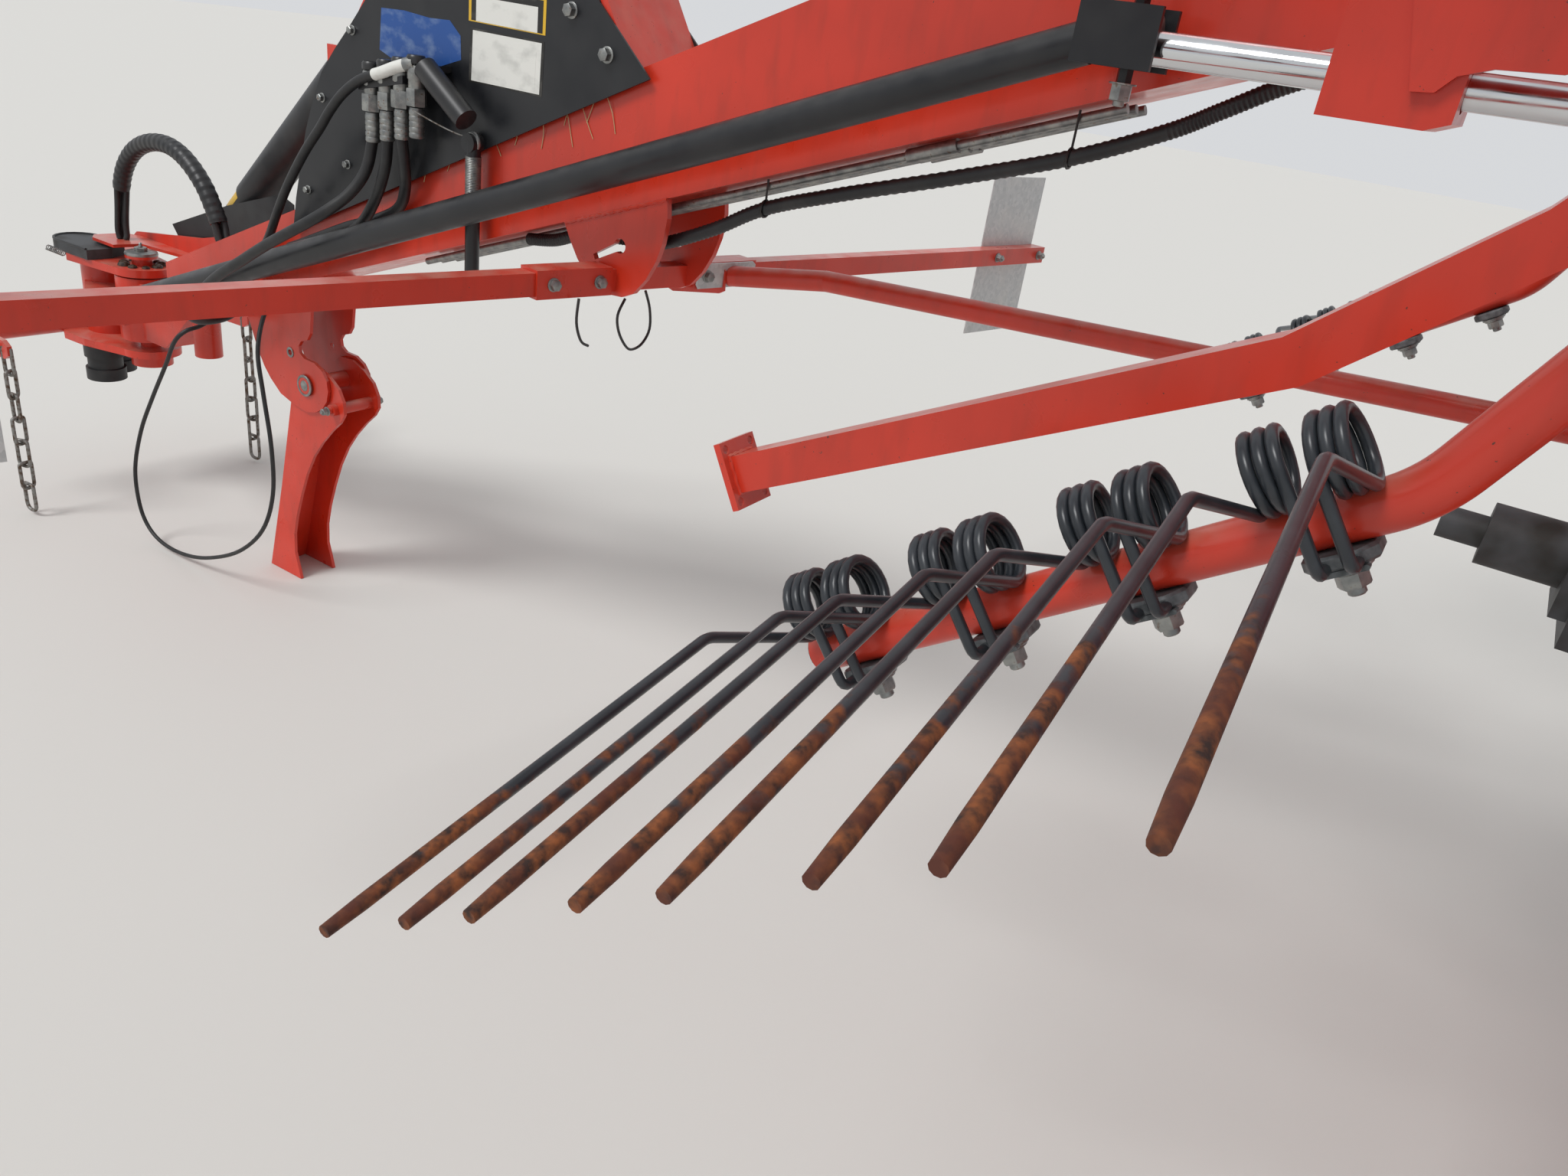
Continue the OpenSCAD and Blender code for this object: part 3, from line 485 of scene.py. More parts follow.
class Shape:
    """Points and faces of one piece. Each part of it names its finish by its number among the piece's."""

    def __init__(self):
        self.points, self.faces, self.finish, self.flat, self.wear = [], [], [], [], []

    def put(self, points, faces, finish=0, flat=False, place=Matrix(), wear=None):
        """Adds points and faces; flat is one value, or one for each face."""
        base = len(self.points)
        step = -1 if place.determinant() < 0 else 1
        self.points += [place @ Vector(p) for p in points]
        self.faces += [[base + i for i in face[::step]] for face in faces]
        self.finish += [finish] * len(faces)
        self.flat += flat if isinstance(flat, list) else [flat] * len(faces)
        self.wear += wear or [0.0] * len(points)

    def tube(self, line, radius, sides=12, finish=0, place=Matrix(), wear=None, closed=False):
        """A round bar along a line; radius may be one value or one for each point."""
        line = [Vector(p) for p in line]
        radii = radius if isinstance(radius, list) else [radius] * len(line)
        across = (line[1] - line[0]).normalized().orthogonal().normalized()
        points = []
        for i, centre in enumerate(line):
            way = heading(line, i, closed)
            across = (across - way * across.dot(way)).normalized()
            other = way.cross(across)
            points += [centre + radii[i] * (c * across + s * other) for c, s in circle(1, sides)]
        faces = skin(len(line), sides, closed)
        lids = 0 if closed else 2
        flat = [False] * (len(faces) - lids) + [True] * lids
        worn = [value for value in wear for _ in range(sides)] if wear else None
        self.put(points, faces, finish, flat, place, worn)

    def turned(self, profile, place=Matrix(), sides=24, finish=0, closed=False):
        """Turns a profile of (radius, height) about the place's Z axis; six sides stay flat."""
        points = [(r * c, r * s, z) for r, z in profile for c, s in circle(1, sides)]
        self.put(points, skin(len(profile), sides, closed), finish, sides == 6, place)

    def slab(self, outline, low, high, place=Matrix(), finish=0, bevel=0.0):
        """A flat plate with the outline, from low to high along Z, its edges eased by bevel."""
        if sum(a[0] * b[1] - b[0] * a[1] for a, b in zip(outline, outline[1:] + outline[:1])) < 0:
            outline = outline[::-1]
        middle = centre_of(outline)
        levels = [(low, 0), (high, 0)]
        if bevel:
            levels = [(low, bevel), (low + bevel, 0), (high - bevel, 0), (high, bevel)]
        points = []
        for z, inset in levels:
            for p in outline:
                away = Vector(p) - middle
                points.append((*(middle + away * max(0.0, 1 - inset / max(away.length, 1e-6))), z))
        self.put(points, skin(len(levels), len(outline), False), finish, True, place)

    def bolt(self, at, along, flats, finish=0, nut=False, turn=0.3):
        """A hex head, or a nut with its bolt's end, on a washer that lies on the surface."""
        place = facing(at, along, turn)
        rim, base = flats * WASHER_RADIUS, WASHER_THICKNESS
        self.turned([(rim, 0), (rim, 0.0016), (rim - 0.0008, base)], place, 20, finish)
        corner = flats / 2 / cos(pi / 6)
        high = base + flats * (NUT_HEIGHT if nut else HEAD_HEIGHT)
        self.turned([(corner, base), (corner, high - 0.0012), (flats * FACE_RADIUS, high)],
                    place, 6, finish)
        if nut:
            stem = flats * STEM_RADIUS
            self.turned([(stem, high), (stem, high + flats * 0.2), (stem - 0.0015, high + flats * 0.26)],
                        place, 12, finish)

    def made(self, name, body, *finishes):
        """Makes the mesh, gives it its finishes by name and lets it ride on its body."""
        mesh = bpy.data.meshes.new(name)
        mesh.from_pydata([tuple(p) for p in self.points], [], self.faces)
        for each in finishes:
            mesh.materials.append(bpy.data.materials[each])
        mesh.polygons.foreach_set("material_index", self.finish)
        mesh.polygons.foreach_set("use_smooth", [not flat for flat in self.flat])
        if any(self.wear):
            mesh.attributes.new("wear", "FLOAT", "POINT").data.foreach_set("value", self.wear)
        mesh.update()
        mesh.set_sharp_from_angle(angle=SHARP_FROM)
        piece = bpy.data.objects.new(name, mesh)
        bpy.context.scene.collection.objects.link(piece)
        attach(piece, body)
        return piece


# Routes of the free hoses and the cable, the same points as in the part's source

FRONT_HOSES = {
    "front_hose_a": [
        (1.735, 0.145, 1.1854), (1.736, 0.146, 1.16), (1.745, 0.155, 1.105), (1.765, 0.178, 1.058),
        (1.8, 0.208, 1.018), (1.86, 0.232, 0.975), (1.95, 0.24, 0.925), (2.05, 0.24, 0.868),
        (2.15, 0.24, 0.81), (2.235, 0.238, 0.745), (2.295, 0.222, 0.695), (2.328, 0.175, 0.666),
        (2.345, 0.112, 0.66), (2.351, 0.072, 0.671), (2.357, 0.0605, 0.687), (2.3622, 0.06, 0.6986)],
    "front_hose_b": [
        (1.693, 0.145, 1.1943), (1.694, 0.144, 1.168), (1.704, 0.143, 1.115), (1.737, 0.141, 1.05),
        (1.802, 0.129, 0.986), (1.9, 0.124, 0.93), (2.01, 0.12, 0.88), (2.12, 0.115, 0.836),
        (2.185, 0.108, 0.808), (2.199, 0.1, 0.801), (2.2, 0.0922, 0.8)],
    "front_hose_c": [
        (1.651, 0.145, 1.2036), (1.652, 0.144, 1.176), (1.656, 0.136, 1.138), (1.672, 0.121, 1.08),
        (1.71, 0.107, 1.035), (1.78, 0.104, 1.0), (1.87, 0.104, 0.968), (1.96, 0.104, 0.93),
        (2.03, 0.104, 0.9), (2.068, 0.103, 0.885), (2.079, 0.099, 0.881), (2.08, 0.0922, 0.88)],
}
ARCH = [
    (2.985, -0.02, 0.7087), (2.984, -0.02, 0.74), (2.97, -0.019, 0.83), (2.935, -0.016, 0.9),
    (2.872, -0.012, 0.955), (2.79, -0.008, 0.988), (2.7, -0.004, 0.996), (2.62, 0, 0.975),
    (2.555, 0, 0.925), (2.512, 0, 0.86), (2.488, 0, 0.8063), (2.4801, 0, 0.7892)]
CABLE = [
    (2.385, 0.072, 0.6916), (2.383, 0.076, 0.684), (2.376, 0.104, 0.658), (2.368, 0.152, 0.64),
    (2.372, 0.19, 0.63), (2.394, 0.207, 0.6), (2.442, 0.207, 0.53), (2.52, 0.205, 0.426),
    (2.592, 0.204, 0.318), (2.638, 0.206, 0.2), (2.638, 0.206, 0.1), (2.605, 0.206, 0.042),
    (2.54, 0.206, 0.016), (2.44, 0.206, 0.02), (2.33, 0.206, 0.052), (2.2, 0.205, 0.118),
    (2.1, 0.203, 0.21), (2.05, 0.202, 0.32), (2.044, 0.202, 0.44), (2.064, 0.2, 0.56),
    (2.09, 0.19, 0.65), (2.108, 0.16, 0.72), (2.117, 0.12, 0.772), (2.12, 0.104, 0.786),
    (2.12, 0.0914, 0.79)]
SLEEVED_HOSE = [
    (1.601, 0.150, 1.318), (1.640, 0.160, 1.306), (1.680, 0.166, 1.290), (1.742, 0.166, 1.269),
    (1.795, 0.166, 1.237), (1.836, 0.166, 1.200), (1.869, 0.166, 1.163), (1.926, 0.164, 1.106),
    (1.995, 0.158, 1.029), (2.055, 0.146, 0.960), (2.108, 0.128, 0.908), (2.150, 0.112, 0.876),
    (2.172, 0.099, 0.863), (2.176, 0.0905, 0.860)]


def place_camera():
    """Sets the camera where the photograph was taken, by its fitted place, axes and lens."""
    scene = bpy.context.scene
    lens = bpy.data.cameras.new("photo_camera")
    lens.sensor_width, lens.lens = 36.0, 26.37
    lens.clip_start, lens.clip_end = 0.05, 200.0
    camera = bpy.data.objects.new("photo_camera", lens)
    right = Vector((-0.82411, -0.55049, 0.13343))
    up = Vector((0.34413, -0.29949, 0.88988))
    ahead = Vector((0.44991, -0.77927, -0.43625))
    camera.matrix_world = shift(-0.245, 1.72, 1.47) @ Matrix((right, up, -ahead)).transposed().to_4x4()
    scene.collection.objects.link(camera)
    scene.camera = camera


class RAKE_OT_stage(bpy.types.Operator):
    """Sets the camera where the photograph was taken, with a pale floor and plain soft light"""
    bl_idname = "rake.stage"
    bl_label = "Camera, floor and light"

    def execute(self, context):
        place_camera()
        scene = context.scene
        scene.view_settings.view_transform = "Standard"
        bpy.ops.mesh.primitive_plane_add(size=60, location=(0, 0, -0.001))
        floor = context.object
        floor.name = "floor"
        floor.data.materials.append(Surface("pale_floor", "D2D0CB", 0.9).material)
        scene.world = bpy.data.worlds.new("plain_sky")
        scene.world.use_nodes = True
        background = scene.world.node_tree.nodes["Background"]
        background.inputs["Color"].default_value = linear("EDEFF2")
        background.inputs["Strength"].default_value = 0.8
        lamp = bpy.data.lights.new("key_lamp", "SUN")
        lamp.energy = 1.7
        lamp.angle = radians(20)
        sun = bpy.data.objects.new("key_lamp", lamp)
        sun.rotation_euler = (radians(38), radians(8), radians(150))
        scene.collection.objects.link(sun)
        return {"FINISHED"}


class RAKE_OT_finishes(bpy.types.Operator):
    """Makes the finishes that the pieces are given by name"""
    bl_idname = "rake.finishes"
    bl_label = "Finishes"

    def execute(self, context):
        for make in (red_enamel, black_enamel, galvanised_sheet, zinc_plate, spring_steel, dark_casting,
                     hard_chrome, tyre_rubber, moulded_plastic, hose_rubber, cast_iron, forged_chain,
                     old_grease, dry_straw, silver_enamel, nylon):
            make()
        vinyl("blue_vinyl", "1F4D92", "8FA3BC")
        vinyl("white_vinyl", "DCDCD6", "9FA09B")
        vinyl("dark_vinyl", "22211F", "6B6862")
        vinyl("yellow_vinyl", "D9AE2C", "A8976A")
        return {"FINISHED"}


class RAKE_OT_hoses(bpy.types.Operator):
    """Hangs the hydraulic hoses, the wrapped bundle over the hitch and the control cable"""
    bl_idname = "rake.hoses"
    bl_label = "Hoses and cable"

    def execute(self, context):
        hose, cable = sizes().hose, sizes().cable
        for name, route in FRONT_HOSES.items():
            line, shape = smooth_line(route), Shape()
            shape.tube(line, hose / 2, 16)
            piece = shape.made(name + "_rubber", "frame", "hose_rubber")
            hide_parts(name)
            self.declare(piece, line, hose)
        line, shape = smooth_line(SLEEVED_HOSE), Shape()
        bare, sleeve, ferrule = hose * 0.42, hose * 0.50, hose * 0.56
        shape.tube(line, bare, 16)
        shape.tube(line[4:15], sleeve, 18, 1)
        shape.tube(line[1:5], ferrule, 18, 2)
        piece = shape.made("sleeved_hose", "frame", "hose_rubber", "white_vinyl", "zinc_plate")
        self.declare(piece, line, hose * 0.84)
        line, shape = smooth_line(CABLE), Shape()
        shape.tube(line, cable / 2, 12)
        piece = shape.made("control_cable", "frame", "hose_rubber")
        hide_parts("cable_loop")
        self.declare(piece, line, cable)
        self.bundle()
        return {"FINISHED"}

    def declare(self, piece, line, diameter, stiffness="medium", lay="hanging"):
        """Does nothing with the hose or cable it is given, which leaves the frame and goes back into it.
        """

    def bundle(self):
        """Five hoses side by side, with a flat wrap wound round their middle stretch, lap over lap."""
        line, shape = smooth_line(ARCH, 8), Shape()
        radius, lap, lap_steps, strands = sizes().bundle / 2, 0.0016, 5, 5
        strand_radius = radius * 0.36
        for k in range(strands):
            strand = []
            for i, centre in enumerate(line):
                way = heading(line, i)
                across = way.cross(Vector((0, 1, 0))).normalized()
                twist = tau * k / strands + 1.2 * sin(i / len(line) * 5 + k)
                offset = (radius - strand_radius - 0.001) * (0.82 + 0.1 * sin(i * 0.5 + k))
                strand.append(centre + offset * (cos(twist) * across + sin(twist) * way.cross(across)))
            shape.tube(strand, strand_radius, 10)
        sleeve = smooth_line(ARCH, 20)[44:186]
        steps = [i % lap_steps / (lap_steps - 1) for i in range(len(sleeve))]
        shape.tube(sleeve, [radius - lap + lap * step for step in steps], 22, 1)
        piece = shape.made("wrapped_bundle", "frame", "hose_rubber", "moulded_polyethylene")
        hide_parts("hose_arch")
        self.declare(piece, line, sizes().bundle, "stiff", "loose")


class RAKE_OT_paint(bpy.types.Operator):
    """Gives every carried-over node of the frame its finish"""
    bl_idname = "rake.paint"
    bl_label = "Paint and plating"

    def execute(self, context):
        groups = {
            "silver_enamel": ("rim_left", "rim_right"),
            "black_enamel": ("side_panels", "steering_rod", "hang_strut", "front_shield", "tie_rod",
                             "barrel_left", "barrel_right"),
            "zinc_plate": ("hydraulic_pipes",),
            "galvanised_sheet": ("sign_plates",),
            "cast_iron": ("central_gearbox", "gearbox_left", "gearbox_right", "hitch_cover"),
            "moulded_polyethylene": ("drive_shaft", "hose_holder"),
            "hose_rubber": ("hitch_bellows",),
            "hard_chrome": ("piston_left", "piston_right"),
            "tyre_rubber": ("tyre_left", "tyre_right"),
        }
        given = {node: name for name, nodes in groups.items() for node in nodes}
        for node, piece in frame["nodes"].items():
            piece.data.materials.clear()
            piece.data.materials.append(bpy.data.materials[given.get(node, "red_enamel")])
        return {"FINISHED"}


def spring_half(side):
    """Centre line, wear and radii of half a double tine: clamp, coil, leg and tine, the arm along X."""
    wire, mean = sizes().wire, (sizes().coil - sizes().wire) / 2
    inner, coil_y, coil_z = 0.0115, 0.052, -0.024
    turns, steps_in_turn, steps_in_leg = 2 + 297 / 360, 22, 14
    line = rounded([(0, -0.030, 0.0125), (side * inner, -0.030, 0.0125), (side * inner, -0.030, -0.048),
                    (side * inner, 0.030, coil_z - mean)], 0.012, 4)[:-1]
    steps = int(turns * steps_in_turn)
    for k in range(steps + 1):
        done = turns * k / steps
        line.append(Vector((side * (inner + (wire + 0.0001) * done), coil_y + mean * sin(tau * done),
                            coil_z - mean * cos(tau * done))))
    bend = Vector((side * 0.0426, 0.0735, -0.1670))
    tip = bend + Vector((-0.0004, -0.0387, -0.4190))
    line += rounded([line[-1], bend, tip], 0.042, 9)[1:-1]
    wear = [0.0] * len(line)
    straight = line[-1]
    for k in range(1, steps_in_leg + 1):
        line.append(straight.lerp(tip, k / steps_in_leg))
        wear.append(k / steps_in_leg)
    return line, wear, [wire / 2] * (len(line) - 1) + [wire * 0.42]


class RAKE_OT_tines(bpy.types.Operator):
    """Winds the double tines from spring wire and clamps them to the rotor arms"""
    bl_idname = "rake.tines"
    bl_label = "Tines and clamps"

    def execute(self, context):
        halves = [spring_half(-1), spring_half(1)]
        for side, name in SIDES:
            springs, clamps = Shape(), Shape()
            for arm in arm_places(side):
                outer = arm @ shift(BEND_AT) @ spin(BEND_TURN, "Z")
                for k in range(TINES_ON_ARM):
                    place = outer @ shift(FIRST_TINE + k * TINE_PITCH)
                    for line, wear, radii in halves:
                        springs.tube(line, radii, sizes().wire_sides, 0, place, wear)
                    self.clamp(clamps, place)
            body = "rotor_%s_body" % name
            piece = springs.made("spring_tines_" + name, body, "coated_spring_steel")
            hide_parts("tines_" + name)
            clamps.made("tine_clamps_" + name, body, "dark_casting", "zinc_plate")
        return {"FINISHED"}

    def clamp(self, shape, place):
        """Saddle casting under the arm, with its washer, flanged nut and bolt end."""
        down = place @ shift(y=-ARM_RADIUS - 0.0002) @ spin(QUARTER, "X")
        shape.slab([(-0.027, -0.012), (-0.014, -0.027), (0.020, -0.027), (0.028, -0.016), (0.028, 0.014),
                    (0.015, 0.027), (-0.020, 0.027), (-0.027, 0.018)], 0, 0.0125, down, 0, 0.0025)
        shape.slab([(-0.019, -0.026), (0.019, -0.026), (0.019, -0.018), (-0.019, -0.018)],
                   0.0125, 0.017, down, 0, 0.0015)
        shape.turned([(0.0185, 0.0143), (0.0185, 0.0170), (0.0175, 0.0178)], down, 24, 1)
        shape.turned([(0.0155, 0.0178), (0.0155, 0.0200), (0.0125, 0.0215)], down, 24, 1)
        shape.turned([(0.0127, 0.0205), (0.0127, 0.0315), (0.0112, 0.0335)], down, 6, 1)
        shape.turned([(0.0072, 0.0330), (0.0072, 0.0385), (0.0056, 0.0400)], down, 14, 1)


class RAKE_OT_rotors(bpy.types.Operator):
    """Builds each rotor's hub with its bolted sockets and the bent tubular arms"""
    bl_idname = "rake.rotors"
    bl_label = "Rotor hubs and arms"

    def execute(self, context):
        before = BEND_AT - ELBOW * tan(BEND_TURN / 2)
        turns = [BEND_TURN * k / 8 for k in range(9)]
        elbow = [(before + ELBOW * sin(turn), ELBOW * (1 - cos(turn)), 0) for turn in turns]
        end = (BEND_AT + ARM_END * cos(BEND_TURN), ARM_END * sin(BEND_TURN), 0)
        for side, name in SIDES:
            shape, hub = Shape(), rotor_place(side)
            shape.turned(both_halves([(0.0601, 0), (0.196, 0), (0.204, 0.006), (0.226, 0.010),
                                      (0.230, 0.016)], 0.050), hub, 64, closed=True)
            bolt_ring, plate_face = 0.208, 0.0435
            for spot in around(hub, bolt_ring, ARM_COUNT, first=FIRST_ARM + pi / ARM_COUNT):
                for face in (spot @ shift(z=-plate_face) @ spin(pi, "X"), spot @ shift(z=plate_face)):
                    shape.turned([(0.013, -0.001), (0.013, 0.001)], face, 20, 1)
                    shape.turned([(0.0095, 0.001), (0.0095, 0.0075), (0.0083, 0.0088)], face, 6, 1)
            socket_bolts, socket_top = (0.265, 0.315), 0.0305
            for arm in arm_places(side):
                shape.turned([(0.031, 0.200), (0.031, 0.330), (0.0285, 0.334), (0.0215, 0.334)],
                             arm @ spin(QUARTER, "Y"), 28)
                shape.tube([(0.20, 0, 0), *elbow, end], ARM_RADIUS, 28, 0, arm)
                shape.turned([(0.019, 0.0), (0.019, 0.002), (0.016, 0.0035)],
                             arm @ shift(*end) @ spin(BEND_TURN, "Z") @ spin(QUARTER, "Y"), 24, 2)
                for x in socket_bolts:
                    shape.turned([(0.0105, 0), (0.0105, 0.0065), (0.0092, 0.0078)],
                                 arm @ shift(x, 0, socket_top), 6, 1)
            piece = shape.made("rotor_frame_" + name, "rotor_%s_body" % name, "red_enamel", "zinc_plate",
                               "moulded_polyethylene")
            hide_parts("rotor_" + name)
        return {"FINISHED"}


class RAKE_OT_panel_fittings(bpy.types.Operator):
    """Bolts the black panels, with their blank labels and the row of hydraulic couplings"""
    bl_idname = "rake.panel_fittings"
    bl_label = "Panel bolts, labels and couplings"

    def execute(self, context):
        bolts, flats = Shape(), sizes().bolt_flats
        spots = [(1.841, 1.348), (1.941, 1.211), (1.867, 1.093), (2.000, 1.019), (1.267, 1.444),
                 (1.182, 1.385), (1.620, 1.500), (1.330, 1.520)]
        for side in (1, -1):
            for k, (x, z) in enumerate(spots):
                bolts.bolt((x, side * PANEL_FACE, z), (0, side, 0), flats * (1.0 if x < 1.5 else 0.68),
                           turn=0.4 + k)
        bolts.made("panel_bolts", "frame", "zinc_plate")
        self.labels()
        self.strut()
        self.couplings()
        return {"FINISHED"}

    def labels(self):
        """Blank vinyl labels: a torn blue one, a white one edged dark and one edged yellow."""
        face = Matrix(((1, 0, 0, 0), (0, 0, 1, PANEL_FACE), (0, 1, 0, 0), (0, 0, 0, 1)))
        torn = [(1.754, 1.397), (1.761, 1.323), (1.714, 1.308), (1.650, 1.310), (1.593, 1.314),
                (1.535, 1.333), (1.537, 1.373), (1.566, 1.396), (1.620, 1.394), (1.690, 1.399)]
        middle_plate = [(1.511, 1.390), (1.327, 1.388), (1.329, 1.298), (1.514, 1.299)]
        upper_plate = [(1.516, 1.401), (1.326, 1.398), (1.326, 1.454), (1.516, 1.456)]
        for colour, outline, edge, border in (("blue", torn, "blue_vinyl", "white_vinyl"),
                                              ("white", middle_plate, "dark_vinyl", "white_vinyl"),
                                              ("yellow", upper_plate, "yellow_vinyl", "dark_vinyl")):
            label = Shape()
            label.slab(outline, 0, 0.0004, face)
            if outline is not torn:
                middle = centre_of(outline)
                inner = [(Vector(p) - middle) * 0.93 for p in outline]
                label.slab([middle + p for p in inner], 0.0004, 0.0006, face, 1)
                label.slab([middle + Vector((p.x * 0.86, p.y * 0.78 - 0.006)) for p in inner],
                           0.0006, 0.0008, face, 2)
            label.made("blank_label_" + colour, "frame", edge, border, "white_vinyl")

    def strut(self):
        """Eye and threaded end of the hanging strut, with the wire that ties it to the plug."""
        shape = Shape()
        eye = [(1.486 + x, 0.1184, 1.198 + z) for x, z in circle(0.0135, 20)]
        shape.tube(eye, 0.0062, 10, closed=True)
        thread = []
        for z in (0.0030 * k for k in range(34)):
            thread += [(0.0140, z), (0.0152, z + 0.0012), (0.0152, z + 0.0016)]
        shape.turned(thread, shift(1.484, 0.1184, 1.072), 22)
        wire = [(1.602, 0.161, 1.236), (1.560, 0.150, 1.222), (1.520, 0.139, 1.211),
                (1.497, 0.1265, 1.206), (1.487, 0.1190, 1.209)]
        shape.tube(smooth_line(wire, 5), 0.0014, 6, 1)
        shape.made("strut_eye_and_thread", "frame", "zinc_plate", "forged_chain")

    def couplings(self):
        """Four quick couplings above the hoses, with crimped ferrules, hexagons and dust caps."""
        shape, pitch, rise = Shape(), 0.042, 0.009
        ferrule = [(0.0125, -0.028)]
        for z in (0.010 * k for k in range(5)):
            ferrule += [(0.0140, z - 0.026), (0.0140, z - 0.020), (0.0131, z - 0.018)]
        ferrule.append((0.0127, 0.026))
        for i in range(4):
            place = shift(1.735 - pitch * i, 0.145, 1.186 + rise * i)
            shape.turned(ferrule, place, 22)
            shape.turned([(0.0186, 0.0285), (0.0194, 0.031), (0.0194, 0.057), (0.0186, 0.0595)],
                         place @ spin(0.4 * i, "Z"), 6)
            shape.turned([(0.0150, 0.0595), (0.0150, 0.074), (0.0165, 0.076), (0.0165, 0.098),
                          (0.0145, 0.101)], place)
            shape.turned([(0.0140, 0.101), (0.0178, 0.103), (0.0178, 0.113), (0.0150, 0.117)],
                         place, 24, 1)
        shape.made("couplings", "frame", "zinc_plate", "nylon")


class RAKE_OT_bar_fittings(bpy.types.Operator):
    """Adds the bolts of the front bar and its sign plates, and the clamp plate of the guard rail"""
    bl_idname = "rake.bar_fittings"
    bl_label = "Bolts of the bar and guards"

    def execute(self, context):
        bar = shift(FRONT_BAR_X, 0, FRONT_BAR_Z) @ spin(FRONT_BAR_SWEEP, "Z")
        back = bar.to_3x3() @ Vector((-1, 0, 0))
        bolts, bar_face, plate_face, sign_bolts = Shape(), 0.0251, 0.0302, (-1.135, -1.325, 1.085, 1.275)
        for side, lift in ((1, bar_face), (-1, plate_face)):
            for k, y in enumerate((0.128, 0.228)):
                bolts.bolt(bar @ Vector((-lift, side * y, 0)), back, 0.017, turn=k)
                bolts.bolt(bar @ Vector((bar_face, side * y, 0)), -back, 0.017, nut=True, turn=1 + k)
        for y in sign_bolts:
            bolts.bolt(bar @ Vector((-0.0201, y, 0)), back, 0.016, nut=True, turn=y)
            bolts.bolt(bar @ Vector((0.0233, y, 0)), -back, 0.016, turn=y)
        bolts.made("bar_bolts", "frame", "zinc_plate")
        clamp = Shape()
        face = bar @ Matrix(((0, 0, -1, -0.0252), (1, 0, 0, 0), (0, -1, 0, 0), (0, 0, 0, 1)))
        clamp.slab([(-0.258, -0.018), (-0.250, -0.024), (-0.108, -0.024), (-0.102, -0.016),
                    (-0.102, 0.016), (-0.108, 0.024), (-0.250, 0.024), (-0.258, 0.018)],
                   0, 0.005, face, 1, 0.0015)
        clamp.made("rail_clamp_plate", "frame", "zinc_plate", "galvanised_sheet")
        return {"FINISHED"}


class RAKE_OT_stand_fittings(bpy.types.Operator):
    """Puts washers, rings, nuts and the locking pin on the parking stand"""
    bl_idname = "rake.stand_fittings"
    bl_label = "Stand pins and rings"

    def execute(self, context):
        still, moving = Shape(), Shape()
        for side, pin_y in ((1, 0.0751), (-1, -0.0692)):
            pivot = facing((STAND_PIVOT.x, side * 0.0692, STAND_PIVOT.z), (0, side, 0))
            moving.turned([(0.0131, 0), (0.0125, 0.0005), (0.0125, -0.012), (0.0128, -0.0125)], pivot, 20)
            moving.turned([(0.0255, -0.0045), (0.0262, -0.003), (0.0262, -0.0005), (0.0255, 0.0003),
                           (0.0205, 0.0003), (0.0205, -0.0045)], pivot, 28, closed=True)
            moving.bolt((2.008, pin_y, 0.514), (0, side, 0), 0.015, nut=side > 0)
            still.turned([(0.0125, -0.0002), (0.0125, 0.0015), (0.0070, 0.0015), (0.0070, -0.0002)],
                         facing((2.155, side * 0.0622, 0.617), (0, side, 0)), 20, closed=True)
        moving.made("stand_pins", "stand", "zinc_plate")
        still.made("stand_lug_rings", "frame", "zinc_plate")
        return {"FINISHED"}


